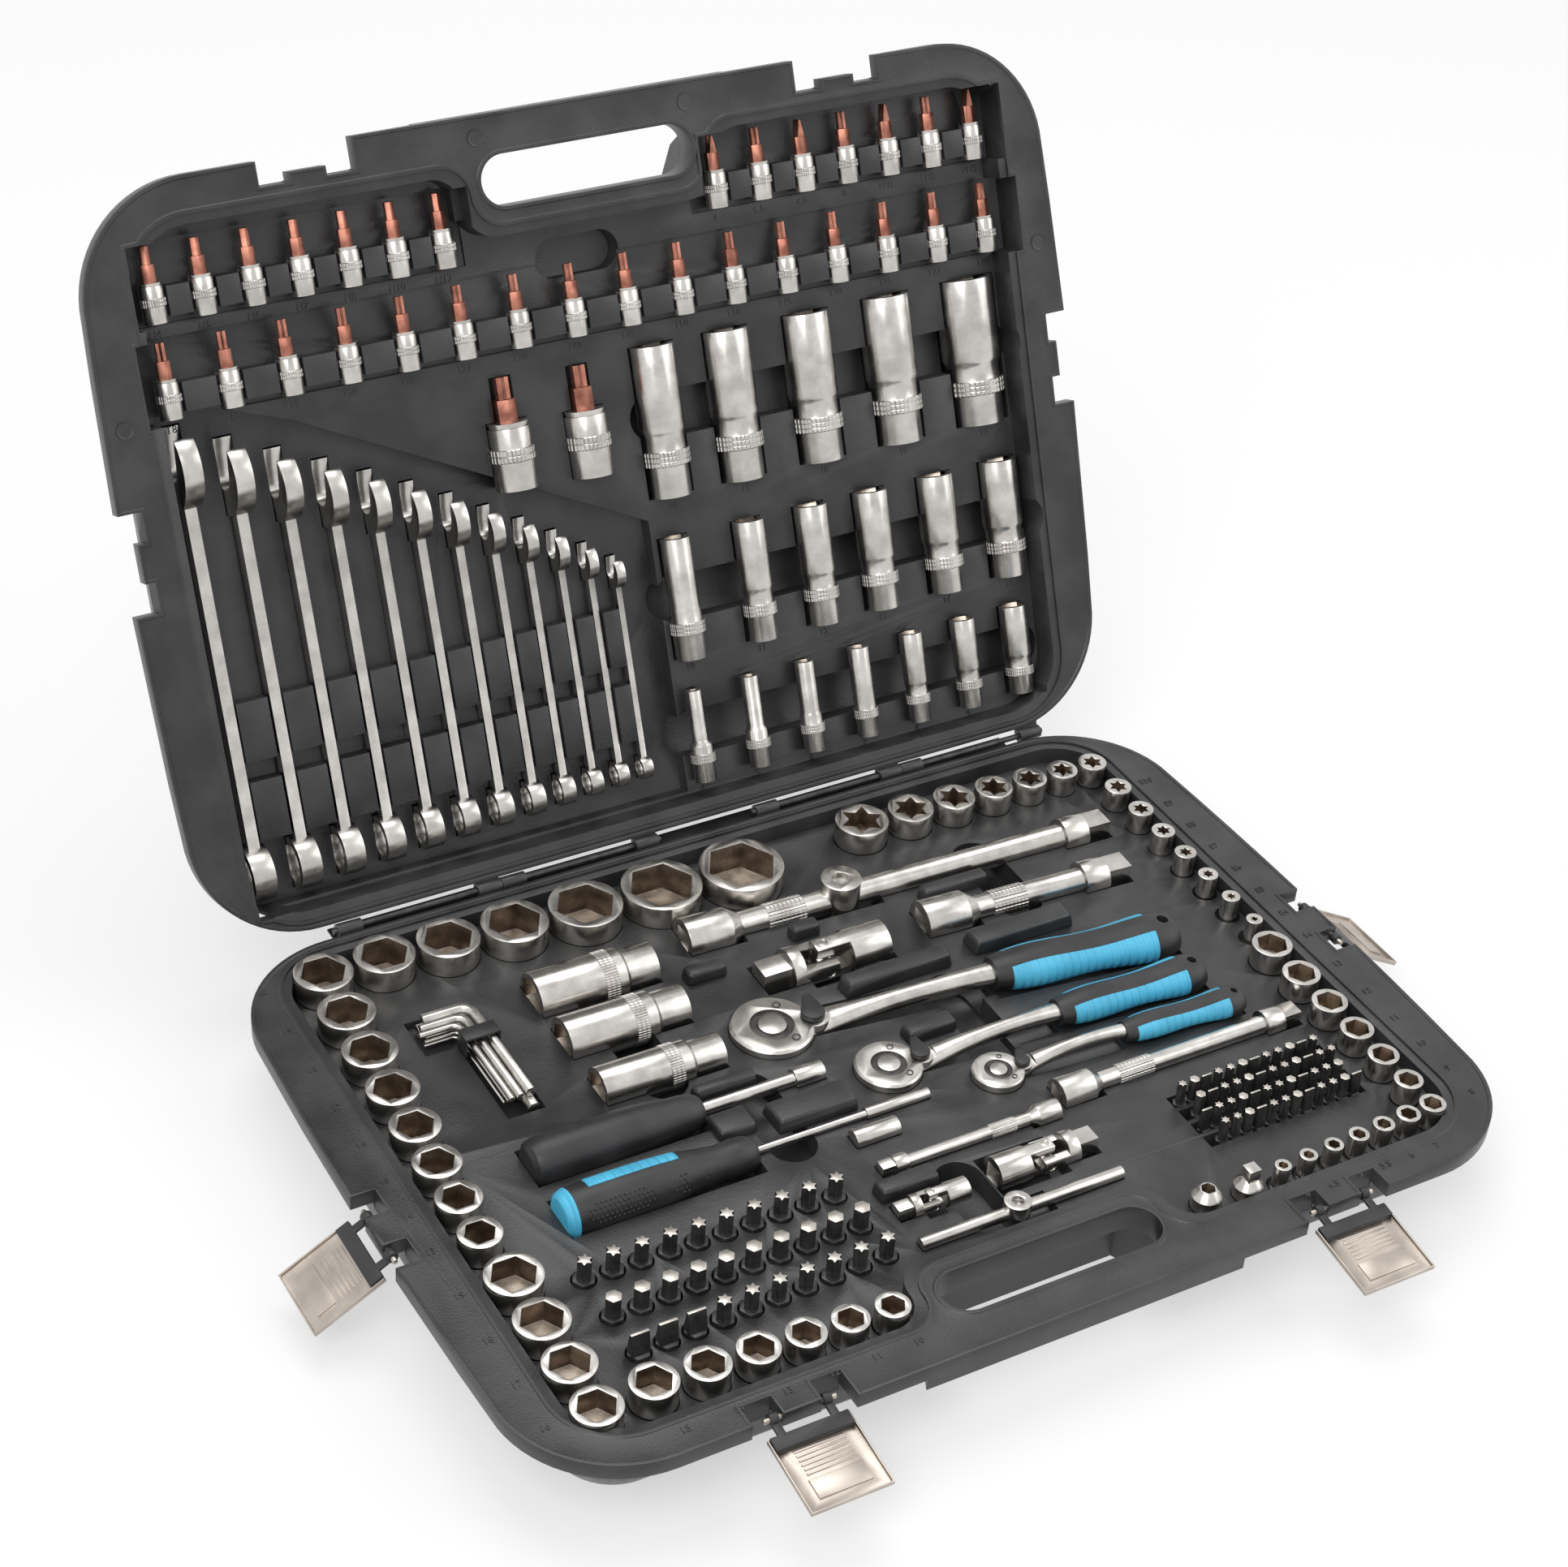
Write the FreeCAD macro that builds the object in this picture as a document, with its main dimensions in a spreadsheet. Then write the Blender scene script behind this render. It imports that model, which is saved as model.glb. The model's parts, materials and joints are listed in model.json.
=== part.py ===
import FreeCAD, Part
import math
import os
import Sketcher
from FreeCAD import Placement, Rotation, Vector

# Socket wrench set in a blow-moulded clamshell case, lid leaning back on its hinge.
# Frame: origin at the middle of the base's underside, +X to the right along the hinge,
# +Y back towards the hinge, +Z up.  Each half is laid out from the hinge axis:
# x along the axis, reach away from the axis, height above the rim plane.

os.makedirs("parts", exist_ok=True)
doc = FreeCAD.newDocument("ToolCase")

DIMENSIONS = [
    # case halves
    ("case_width", 529), ("side_bulge", 3), ("front_edge", 372), ("back_edge", 4), ("corner_radius", 58),
    ("base_depth", 46), ("lid_depth", 46), ("flange_height", 8), ("parting_gap", 0.4),
    ("belly_inset", 11), ("belly_waist_inset", 14), ("belly_waist", 24),
    ("belly_floor_inset", 30), ("belly_back_inset", 5),
    ("lid_lean", 66.8),
    # carrying handle
    ("handle_step", 4), ("handle_half_width", 128), ("handle_thickness", 14), ("bay_half_width", 56),
    ("bay_reach", 318), ("slot_length", 115.6), ("slot_width", 25), ("slot_reach", 343.5),
    # tray edge
    ("tray_half_width", 239), ("tray_back", 9), ("tray_front", 354), ("tray_radius", 32),
    ("tray_bump_reach", 322), ("tray_bump_half", 48), ("ledge_width", 4.5), ("ledge_drop", 1.5),
    ("base_tray_drop", 11), ("lid_tray_drop", 18), ("pocket_clearance", 0.35),
    # hinge
    ("rod_diameter", 3.2), ("rod_length", 182), ("rod_left", -107), ("rod_right", 129), ("rod_play", 0.05),
    ("knuckle_diameter", 7), ("knuckle_length", 13), ("knuckle_gap", 0.4),
    # latches
    ("latch_offset", 144), ("latch_reach", 199), ("latch_pin_diameter", 2.6), ("latch_pin_half", 17.8),
    ("latch_pin_inset", 3.2), ("latch_pin_drop", 4.2), ("latch_arm_offset", 13), ("latch_arm_width", 4),
    ("latch_hub_diameter", 5.6), ("bracket_width", 38), ("bracket_reach", 14), ("bracket_gauge", 1.6),
    ("plate_width", 40), ("plate_length", 39), ("plate_gauge", 0.8), ("plate_lip", 1.6),
    ("ridge_pitch", 2.3), ("ridge_width", 1), ("ridge_height", 0.5), ("ridge_length", 24),
    ("ridge_first", 4),
    ("emboss_length", 26), ("emboss_width", 10), ("emboss_height", 0.9), ("emboss_reach", 23.5),
    ("notch_half_width", 24.5), ("notch_depth", 12), ("notch_inner", 9.4), ("notch_step", 7.2),
    ("front_latch_droop", 8), ("side_latch_droop", 30),
    # upright sockets
    ("socket_top", 1.5), ("half_rate", 1.22), ("half_wall", 4.8), ("half_drive_od", 21.5),
    ("half_length", 38),
    ("half_square", 12.7), ("three_rate", 1.2), ("three_wall", 4.2), ("three_drive_od", 17),
    ("three_length", 28), ("three_square", 9.5), ("quarter_rate", 1.25), ("quarter_wall", 3),
    ("quarter_drive_od", 11.8), ("quarter_length", 25), ("quarter_square", 6.35), ("nut_play", 0.2),
    ("star_rate", 0.98), ("star_wall", 4.6), ("star_drive_od", 12.5), ("star_length", 28),
    # deep sockets and bit sockets in the lid
    ("deep_half_length", 78), ("deep_three_length", 64), ("deep_quarter_length", 49), ("deep_top", -6),
    ("deep_taper", 0.9), ("deep_ring", 0.5),
    ("sleeve_diameter", 11.8), ("sleeve_length", 19), ("bit_hex", 6.35), ("bit_reach", 17),
    ("bit_shank", 8), ("bit_top", -7), ("big_sleeve_diameter", 22), ("big_sleeve_length", 34),
    ("big_bit_reach", 22), ("block_top", -10), ("block_width", 14), ("block_gap", 0.8),
    # spanners
    ("spanner_plane", -22.5), ("jaw_rate", 2.1), ("ring_rate", 1.5), ("shank_rate", 0.52),
    ("spanner_gauge_rate", 0.42), ("span_rate", 9), ("span_base", 32.4), ("ring_reach", 33),
    ("spanner_floor", -27), ("comb_reach", 104), ("comb_width", 30), ("comb_gap", 1.2), ("comb_rows", 2),
    # finger pits in the trays
    ("lid_pit_floor", -30), ("base_pit_floor", -24), ("pit_width", 24),
    # lying tools in the base
    ("tool_axis", -9.5), ("half_bar", 13.6), ("half_female", 23), ("three_bar", 9.6), ("three_female", 17),
    ("quarter_bar", 6.6), ("quarter_female", 11.6), ("spark_length", 65), ("spark_od_large", 27),
    ("spark_od_medium", 25), ("spark_od_small", 22),
    # ratchets
    ("ratchet_top", -6.5), ("grip_axis", -6), ("lever_play", 0.1), ("button_travel", 2.5),
    # drivers, keys, bits
    ("spinner_diameter", 26), ("spinner_length", 90), ("driver_diameter", 26), ("driver_length", 100),
    ("key_gap", 0.4), ("clip_wall", 1.6), ("clip_length", 9),
    ("large_bit_hex", 10), ("large_bit_length", 30), ("large_bit_body", 19), ("small_bit_length", 25),
    ("small_bit_body", 13), ("small_bit_pitch", 7.1), ("small_bit_row", 10), ("small_bit_top", 0),
]

sheet = doc.addObject("Spreadsheet::Sheet", "Dims")
for line, (alias, value) in enumerate(DIMENSIONS, 1):
    sheet.set("A%d" % line, alias)
    sheet.set("B%d" % line, str(value))
    sheet.setAlias("B%d" % line, alias)
doc.recompute()


def size(alias):
    return float(sheet.get(alias))


CLEAR = size("pocket_clearance")
TRAY = -size("base_tray_drop")
LID_TRAY = -size("lid_tray_drop")
AXIS = Vector(0, (size("front_edge") + size("back_edge")) / 2, size("base_depth"))
BASE = Placement(AXIS, Rotation())
LID = Placement(AXIS, Rotation(Vector(1, 0, 0), size("lid_lean")))
UP = Vector(0, 0, 1)
ABOVE = 60


# Document helpers

def bound(kind, name, spot=None, **sizes):
    piece = doc.addObject("Part::" + kind, name)
    for prop, formula in sizes.items():
        piece.setExpression(prop.replace("__", "."), str(formula))
    if spot is not None:
        piece.Placement = spot
    return piece


def joined(name, pieces):
    if len(pieces) == 1:
        return pieces[0]
    union = doc.addObject("Part::MultiFuse", name)
    union.Shapes = pieces
    union.Refine = True
    return union


def minus(name, body, tools):
    cut = doc.addObject("Part::Cut", name)
    cut.Base = body
    cut.Tool = joined(name + "Holes", tools)
    return cut


def turned(name, sections):
    # sections: (radius, end radius or None, length) as formulas, stacked up the local Z axis
    pieces = []
    level = "0"
    for radius, end_radius, length in sections:
        if end_radius is None:
            part = bound("Cylinder", name + "Turn", Radius=radius, Height=length)
        else:
            part = bound("Cone", name + "Taper", Radius1=radius, Radius2=end_radius, Height=length)
        part.setExpression("Placement.Base.z", level)
        pieces.append(part)
        level = level + " + " + str(length)
    return joined(name + "Stack", pieces)


def square_bar(name, side, length, level):
    return bound("Box", name + "Square", Length=side, Width=side, Height=length,
                 Placement__Base__x="-(%s) / 2" % side, Placement__Base__y="-(%s) / 2" % side,
                 Placement__Base__z=level)


def prism(name, corners, across, height, level):
    # across is the distance between flats
    return bound("Prism", name + "Prism", Polygon=corners, Height=height,
                 Circumradius="(%s) / 2 / cos(180 deg / %d)" % (across, corners),
                 Placement__Base__z=level)


NODES = []


def node(label, pieces, frame):
    if len(pieces) == 1:
        piece = pieces[0]
        piece.Placement = frame.multiply(piece.Placement)
    else:
        piece = doc.addObject("Part::Compound", "Node")
        piece.Links = pieces
        piece.Placement = frame
    piece.Label = label
    NODES.append(piece)
    return piece


def made(label, shape, frame=None):
    piece = doc.addObject("Part::Feature", "Made")
    piece.Shape = shape
    if frame is not None:
        piece.Placement = frame.multiply(shape.Placement)
        piece.Label = label
        NODES.append(piece)
    return piece


# Places: standing tools, lying tools, rows of tools

def standing(spot, level):
    return Placement(Vector(spot[0], -spot[1], level), Rotation())


def lying(start, end, level):
    # local Z runs from start to end, local X points up
    along = Vector(end[0] - start[0], start[1] - end[1], 0).normalize()
    return Placement(Vector(start[0], -start[1], level), Rotation(UP, along.cross(UP), along, "ZXY"))


def in_lid(x, reach, height):
    # local Z runs towards the hinge, local X out of the lid
    return Placement(Vector(x, reach, height), Rotation(UP, Vector(-1, 0, 0), Vector(0, -1, 0), "ZXY"))


def row(start, end, widths):
    # centres from start to end, spaced by half of each neighbour's width and one equal gap
    a = Vector(start[0], start[1], 0)
    b = Vector(end[0], end[1], 0)
    steps = [(p + q) / 2 for p, q in zip(widths, widths[1:])]
    gap = ((b - a).Length - sum(steps)) / len(steps)
    spots = [a]
    for step in steps:
        spots.append(spots[-1] + (b - a).normalize() * (step + gap))
    return [(spot.x, spot.y) for spot in spots]


def even_row(start, end, count):
    return row(start, end, [0] * count)


base_cuts = []
lid_cuts = []
lid_blocks = []


def channel(cuts, spot, sections):
    # trough for a lying tool: each (from, to, radius) section with its clearance, open upwards
    for start, end, radius in sections:
        wide = radius + CLEAR
        trough = Part.makeCylinder(wide, end - start + 2 * CLEAR, Vector(0, 0, start - CLEAR))
        way_out = Part.makeBox(ABOVE, 2 * wide, end - start + 2 * CLEAR, Vector(0, -wide, start - CLEAR))
        for shape in (trough, way_out):
            shape.Placement = spot
            cuts.append(shape)


def box_between(low, high):
    return Part.makeBox(high[0] - low[0], high[1] - low[1], high[2] - low[2], Vector(*low))


# Case halves

def outline(inset, toward, level, step):
    half = size("case_width") / 2 - inset
    flat = half - size("side_bulge")
    radius = size("corner_radius") - inset
    back = size("back_edge") + min(inset, size("belly_back_inset"))
    front = size("front_edge") - inset
    slant = radius * (1 - math.sqrt(0.5))

    def at(x, reach):
        return Vector(x, toward * reach, level)

    right = [("arc", (flat - radius, back), (flat - slant, back + slant), (flat, back + radius)),
             ("arc", (flat, back + radius), (half, (back + front) / 2), (flat, front - radius)),
             ("arc", (flat, front - radius), (flat - slant, front - slant), (flat - radius, front))]
    edges = []
    for side in (1, -1):
        for _, first, middle, last in right:
            edges.append(Part.Arc(at(side * first[0], first[1]), at(side * middle[0], middle[1]),
                                  at(side * last[0], last[1])).toShape())
    edges.append(Part.makeLine(at(flat - radius, back), at(radius - flat, back)))
    grip = size("handle_half_width")
    nose = [(flat - radius, front)]
    if step:
        nose += [(grip + step, front), (grip, front + step)]
    points = [at(x, reach) for x, reach in nose] + [at(-x, reach) for x, reach in reversed(nose)]
    edges += [Part.makeLine(p, q) for p, q in zip(points, points[1:])]
    return Part.Wire(Part.__sortEdges__(edges))


def tray_outline(inset, toward, level):
    half = size("tray_half_width") - inset
    back = size("tray_back") + inset
    front = size("tray_front") - inset
    bump = size("tray_bump_reach") - inset
    bend = (size("tray_front") - size("tray_bump_reach")) / 2
    crest = size("tray_bump_half") + inset
    radius = size("tray_radius") - inset
    slant = radius * (1 - math.sqrt(0.5))
    soft = bend * math.sqrt(0.5)

    def at(x, reach):
        return Vector(x, toward * reach, level)

    arcs = [((half - radius, back), (half - slant, back + slant), (half, back + radius)),
            ((half, front - radius), (half - slant, front - slant), (half - radius, front)),
            ((crest + 2 * bend, front), (crest + 2 * bend - soft, front - bend + soft),
             (crest + bend, front - bend)),
            ((crest + bend, front - bend), (crest + soft, bump + bend - soft), (crest, bump))]
    edges = []
    for side in (1, -1):
        for points in arcs:
            edges.append(Part.Arc(*[at(side * x, reach) for x, reach in points]).toShape())
        edges.append(Part.makeLine(at(side * half, back + radius), at(side * half, front - radius)))
        edges.append(Part.makeLine(at(side * (half - radius), front), at(side * (crest + 2 * bend), front)))
    edges.append(Part.makeLine(at(half - radius, back), at(radius - half, back)))
    edges.append(Part.makeLine(at(crest, bump), at(-crest, bump)))
    return Part.Wire(Part.__sortEdges__(edges))


def prism_of(wire, height):
    return Part.Face(wire).extrude(Vector(0, 0, height))


def stadium(length, width, middle, toward, low, high):
    half = (length - width) / 2
    shape = box_between((-half, -width / 2, low), (half, width / 2, high))
    for x in (-half, half):
        shape = shape.fuse(Part.makeCylinder(width / 2, high - low, Vector(x, 0, low)))
    shape.translate(Vector(middle[0], toward * middle[1], 0))
    return shape


def handle_bay(toward, low, high):
    half = size("bay_half_width")
    flare = size("front_edge") - size("bay_reach") + size("handle_step")
    reach = size("bay_reach")
    corners = [(-half, reach), (half, reach), (half + flare / 2, reach + flare + 1),
               (-half - flare / 2, reach + flare + 1)]
    points = [Vector(x, toward * y, low) for x, y in corners]
    return prism_of(Part.makePolygon(points + points[:1]), high - low)


LATCHES = {
    "front_left": (Vector(-size("latch_offset"), -size("front_edge"), 0), 180, size("front_latch_droop")),
    "front_right": (Vector(size("latch_offset"), -size("front_edge"), 0), 180, size("front_latch_droop")),
    "left": (Vector(-size("case_width") / 2, -size("latch_reach"), 0), 90, size("side_latch_droop")),
    "right": (Vector(size("case_width") / 2, -size("latch_reach"), 0), -90, size("side_latch_droop")),
}


def latch_notch(for_lid):
    # local X along the rim, Y outwards, cut through the flange
    deep = -size("flange_height") - 4
    wide = size("notch_half_width")
    inner = size("notch_inner")
    step = size("notch_step")
    pockets = [box_between((-wide, -size("notch_depth"), deep), (-inner, 5, 1)),
               box_between((inner, -size("notch_depth"), deep), (wide, 5, 1))]
    if for_lid:
        return pockets + [box_between((-wide, -step, deep), (wide, 5, 1))]
    hole = size("latch_pin_diameter") / 2 + size("rod_play")
    pin_end = Vector(-wide, -size("latch_pin_inset"), -size("latch_pin_drop"))
    pin = Part.makeCylinder(hole, 2 * wide, pin_end, Vector(1, 0, 0))
    return pockets + [pin, box_between((-inner, -0.8, deep), (inner, 5, 1))]


def knuckle(x, toward):
    outer = size("knuckle_diameter") / 2
    long = size("knuckle_length")
    barrel = Part.makeCylinder(outer, long, Vector(x - long / 2, 0, 0), Vector(1, 0, 0))
    reach = size("back_edge") + 3
    near, far = sorted((0, toward * reach))
    web = box_between((x - long / 2, near, -outer), (x + long / 2, far, -0.6))
    return barrel.fuse(web)


def knuckle_spots():
    # along each rod: base, lid and base side by side at mid-length, lid
    pitch = size("knuckle_length") + size("knuckle_gap")
    far = size("rod_length") / 2 - size("knuckle_length") / 2 - 2
    spots = {-1: [], 1: []}
    for middle in (size("rod_left"), size("rod_right")):
        spots[-1] += [middle - far, middle + pitch / 2]
        spots[1] += [middle - pitch / 2, middle + far]
    return spots


def case_half(toward, cuts, blocks):
    rim = -size("parting_gap") / 2
    deep = size("base_depth") if toward < 0 else size("lid_depth")
    flange = prism_of(outline(0, toward, rim, size("handle_step")), -size("flange_height"))
    under = rim - size("flange_height")
    rings = [outline(size("belly_inset"), toward, under + 1, 0),
             outline(size("belly_waist_inset"), toward, -size("belly_waist"), 0),
             outline(size("belly_floor_inset"), toward, -deep, 0)]
    belly = Part.makeLoft(rings, True, True).cut(handle_bay(toward, -deep - 1, under + 1))
    whole = prism_of(outline(0, toward, rim, size("handle_step")), -size("handle_thickness"))
    bar = whole.common(handle_bay(toward, -deep, 1))
    half = flange.fuse([belly, bar])
    for x in knuckle_spots()[toward]:
        half = half.fuse(knuckle(x, toward))
    tray = TRAY if toward < 0 else LID_TRAY
    ledge = prism_of(tray_outline(0, toward, rim - size("ledge_drop")), ABOVE)
    floor = prism_of(tray_outline(size("ledge_width"), toward, tray), ABOVE)
    slot = stadium(size("slot_length"), size("slot_width"), (0, size("slot_reach")), toward, -ABOVE, ABOVE)
    bores = []
    for middle in (size("rod_left"), size("rod_right")):
        bores.append(Part.makeCylinder(size("rod_diameter") / 2 + size("rod_play"), size("rod_length") + 4,
                                       Vector(middle - size("rod_length") / 2 - 2, 0, 0), Vector(1, 0, 0)))
    notches = []
    for spot, turn, _ in LATCHES.values():
        for shape in latch_notch(toward > 0):
            shape.Placement = Placement(spot, Rotation(UP, turn)).multiply(shape.Placement)
            if toward > 0:
                shape = shape.mirror(Vector(), Vector(0, 1, 0))
            notches.append(shape)
    half = half.cut([ledge, floor, slot] + bores + notches)
    if blocks:
        half = half.cut([shape for shape in cuts if shape in lid_trenches]).fuse(blocks)
        cuts = [shape for shape in cuts if shape not in lid_trenches]
    return half.cut(cuts).removeSplitter()


lid_trenches = []


# Latches

def sketch_on(body, name, role, shapes, offset=None):
    sketch = body.newObject("Sketcher::SketchObject", name)
    plane = [part for part in body.Origin.OriginFeatures if part.Role == role][0]
    sketch.AttachmentSupport = [(plane, "")]
    sketch.MapMode = "FlatFace"
    if offset:
        sketch.setExpression("AttachmentOffset.Base.z", offset)
    for shape in shapes:
        sketch.addGeometry(shape, False)
    return sketch


def rectangle(sketch, left, right, low, high):
    # four lines whose ends meet, each held by a named formula
    first = sketch.GeometryCount
    corners = [Vector(0, 0, 0), Vector(1, 0, 0), Vector(1, 1, 0), Vector(0, 1, 0)]
    for i in range(4):
        sketch.addGeometry(Part.LineSegment(corners[i], corners[(i + 1) % 4]), False)
    for i in range(4):
        sketch.addConstraint(Sketcher.Constraint("Coincident", first + i, 2, first + (i + 1) % 4, 1))
    for i, kind in enumerate(("Horizontal", "Vertical", "Horizontal", "Vertical")):
        sketch.addConstraint(Sketcher.Constraint(kind, first + i))
    for kind, corner, formula in (("DistanceX", 1, left), ("DistanceX", 3, right),
                                  ("DistanceY", 1, low), ("DistanceY", 3, high)):
        line = first if corner == 1 else first + 2
        index = sketch.addConstraint(Sketcher.Constraint(kind, -1, 1, line, 1, 0.5))
        sketch.setExpression("Constraints[%d]" % index, formula)


def padded(body, sketch, length, reversed_way=False):
    pad = body.newObject("PartDesign::Pad", sketch.Name + "Pad")
    pad.Profile = sketch
    pad.setExpression("Length", length)
    pad.Reversed = reversed_way
    sketch.Visibility = False
    return pad


def latch_frame(name):
    spot, turn, droop = LATCHES[name]
    pivot = Placement(Vector(0, -size("latch_pin_inset"), -size("latch_pin_drop")),
                      Rotation(Vector(1, 0, 0), -droop))
    return BASE.multiply(Placement(spot, Rotation(UP, turn))).multiply(pivot)


def latch_plate(name):
    # folded sheet: web below the bracket, side flanges, ridges, raised panel and end lip
    body = doc.addObject("PartDesign::Body", "Plate")
    web = sketch_on(body, "Web", "XY_Plane", [], "-Dims.latch_hub_diameter / 2 - Dims.plate_gauge")
    start = "(Dims.bracket_reach - 6)"
    end = "(%s + Dims.plate_length)" % start
    rectangle(web, "-Dims.plate_width / 2", "Dims.plate_width / 2", start, end)
    padded(body, web, "Dims.plate_gauge")
    sides = sketch_on(body, "Sides", "XY_Plane", [], "-Dims.latch_hub_diameter / 2 - Dims.plate_gauge")
    for side in ("-", ""):
        outer = side + "Dims.plate_width / 2"
        inner = "%s(Dims.plate_width / 2 - Dims.plate_gauge)" % side
        left, right = (outer, inner) if side else (inner, outer)
        rectangle(sides, left, right, start, end)
    padded(body, sides, "Dims.plate_gauge + Dims.plate_lip")
    lip = sketch_on(body, "Lip", "XY_Plane", [], "-Dims.latch_hub_diameter / 2 - Dims.plate_gauge")
    rectangle(lip, "-Dims.plate_width / 2", "Dims.plate_width / 2", end + " - Dims.plate_gauge", end)
    padded(body, lip, "Dims.plate_gauge + Dims.plate_lip")
    panel = sketch_on(body, "Panel", "XY_Plane", [], "-Dims.latch_hub_diameter / 2")
    rectangle(panel, "-Dims.emboss_length / 2", "Dims.emboss_length / 2",
              start + " + Dims.emboss_reach", start + " + Dims.emboss_reach + Dims.emboss_width")
    padded(body, panel, "Dims.emboss_height")
    rib = sketch_on(body, "Ridge", "XY_Plane", [], "-Dims.latch_hub_diameter / 2")
    rectangle(rib, "-Dims.ridge_length / 2", "Dims.ridge_length / 2",
              start + " + Dims.bracket_gauge + Dims.ridge_first + 3",
              start + " + Dims.bracket_gauge + Dims.ridge_first + 3 + Dims.ridge_width")
    ridge = padded(body, rib, "Dims.ridge_height")
    pattern = body.newObject("PartDesign::LinearPattern", "Ridges")
    pattern.Originals = [ridge]
    pattern.Direction = (rib, ["V_Axis"])
    pattern.Occurrences = 6
    pattern.setExpression("Length", "5 * Dims.ridge_pitch")
    body.Tip = pattern
    return node("latch_plate_" + name, [body], latch_frame(name))


def latch_bracket(name):
    # two hooked arms on the pin, joined by a cross plate that carries the sheet
    arms = []
    gauge = "Dims.bracket_gauge"
    for side in (-1, 1):
        inner = "%d * Dims.latch_arm_offset - Dims.latch_arm_width / 2" % side
        arms.append(bound("Cylinder", "Hub", Placement(Vector(), Rotation(Vector(0, 1, 0), 90)),
                          Radius="Dims.latch_hub_diameter / 2", Height="Dims.latch_arm_width",
                          Placement__Base__x=inner))
        arms.append(bound("Box", "Arm", Length="Dims.latch_arm_width", Width="Dims.bracket_reach - 5",
                          Height=gauge, Placement__Base__x=inner, Placement__Base__z="-" + gauge))
    arms.append(bound("Box", "Cross", Length="Dims.bracket_width", Width="7",
                      Height="Dims.latch_hub_diameter / 2",
                      Placement__Base__x="-Dims.bracket_width / 2",
                      Placement__Base__y="Dims.bracket_reach - 6",
                      Placement__Base__z="-Dims.latch_hub_diameter / 2"))
    bore = bound("Cylinder", "PinBore", Placement(Vector(), Rotation(Vector(0, 1, 0), 90)),
                 Radius="Dims.latch_pin_diameter / 2 + Dims.rod_play", Height="4 * Dims.latch_pin_half",
                 Placement__Base__x="-2 * Dims.latch_pin_half")
    bracket = minus("Bracket", joined("Arms", arms), [bore])
    return node("latch_bracket_" + name, [bracket], latch_frame(name))


for latch in LATCHES:
    latch_plate(latch)
    latch_bracket(latch)
pins = []
for latch in LATCHES:
    pin = bound("Cylinder", "LatchPin", Radius="Dims.latch_pin_diameter / 2",
                Height="2 * Dims.latch_pin_half")
    frame = BASE.inverse().multiply(latch_frame(latch))
    along_rim = Placement(Vector(-size("latch_pin_half"), 0, 0), Rotation(Vector(0, 1, 0), 90))
    pin.Placement = frame.multiply(along_rim)
    pins.append(pin)
node("latch_pins", pins, BASE)

rods = []
for middle in ("Dims.rod_left", "Dims.rod_right"):
    rods.append(bound("Cylinder", "HingeRod", Placement(Vector(), Rotation(Vector(0, 1, 0), 90)),
                      Radius="Dims.rod_diameter / 2", Height="Dims.rod_length",
                      Placement__Base__x=middle + " - Dims.rod_length / 2"))
node("hinge_rods", rods, BASE)


# Upright sockets: nut end up, tapering to the drive end below

HALF = {"rate": "half_rate", "wall": "half_wall", "drive": "half_drive_od", "length": "half_length",
        "square": "half_square"}
THREE = {"rate": "three_rate", "wall": "three_wall", "drive": "three_drive_od", "length": "three_length",
         "square": "three_square"}
QUARTER = {"rate": "quarter_rate", "wall": "quarter_wall", "drive": "quarter_drive_od",
           "length": "quarter_length", "square": "quarter_square"}
STAR = {"rate": "star_rate", "wall": "star_wall", "drive": "star_drive_od", "length": "star_length",
        "square": "quarter_square"}


def nut_width(family, nut):
    return size(family["rate"]) * nut + size(family["wall"])


def socket_width(family, nut):
    return max(nut_width(family, nut), size(family["drive"]))


def socket(family, nut, length=None, star=False, deep=False):
    drive = "Dims.%s / 2" % family["drive"]
    outer = "(Dims.%s * %s + Dims.%s) / 2" % (family["rate"], nut, family["wall"])
    length = "Dims." + (length or family["length"])
    if deep:
        low = outer + " * Dims.deep_taper" if nut_width(family, nut) > size(family["drive"]) else drive
        ring = outer if low != drive else drive + " + Dims.deep_ring"
        body = turned("Socket", [(low, None, length + " * 0.22"), (ring, None, length + " * 0.08"),
                                 (low, None, length + " * 0.1"), (low, outer, length + " * 0.05"),
                                 (outer, None, length + " * 0.55")])
    else:
        body = turned("Socket", [(drive, None, length + " * 0.4"), (drive, outer, length + " * 0.1"),
                                 (outer, None, length + " * 0.5")])
    depth = "(%s * 0.42)" % length
    level = "%s - %s" % (length, depth)
    if star:
        lobes = "(Dims.star_rate * %s / 2 + Dims.nut_play)" % nut
        holes = [prism("Lobe", 3, lobes, depth + " + 1", level) for _ in range(2)]
        holes[1].Placement = Placement(holes[1].Placement.Base, Rotation(UP, 60))
    else:
        holes = [prism("Nut", 6, "%s + Dims.nut_play" % nut, depth + " + 1", level)]
    square = "Dims." + family["square"]
    holes.append(square_bar("Drive", square, length + " * 0.4 + 1", "-1"))
    return minus("OneSocket", body, holes)


def upright(label, family, rows, star=False):
    pieces = []
    length = size(family["length"])
    for start, end, nuts in rows:
        spots = row(start, end, [socket_width(family, nut) for nut in nuts])
        for nut, spot in zip(nuts, spots):
            piece = socket(family, nut, star=star)
            piece.Placement = standing(spot, size("socket_top") - length)
            pieces.append(piece)
            pocket = Part.makeCylinder(socket_width(family, nut) / 2 + CLEAR, ABOVE)
            pocket.Placement = standing(spot, size("socket_top") - length)
            base_cuts.append(pocket)
    return node(label, pieces, BASE)


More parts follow.
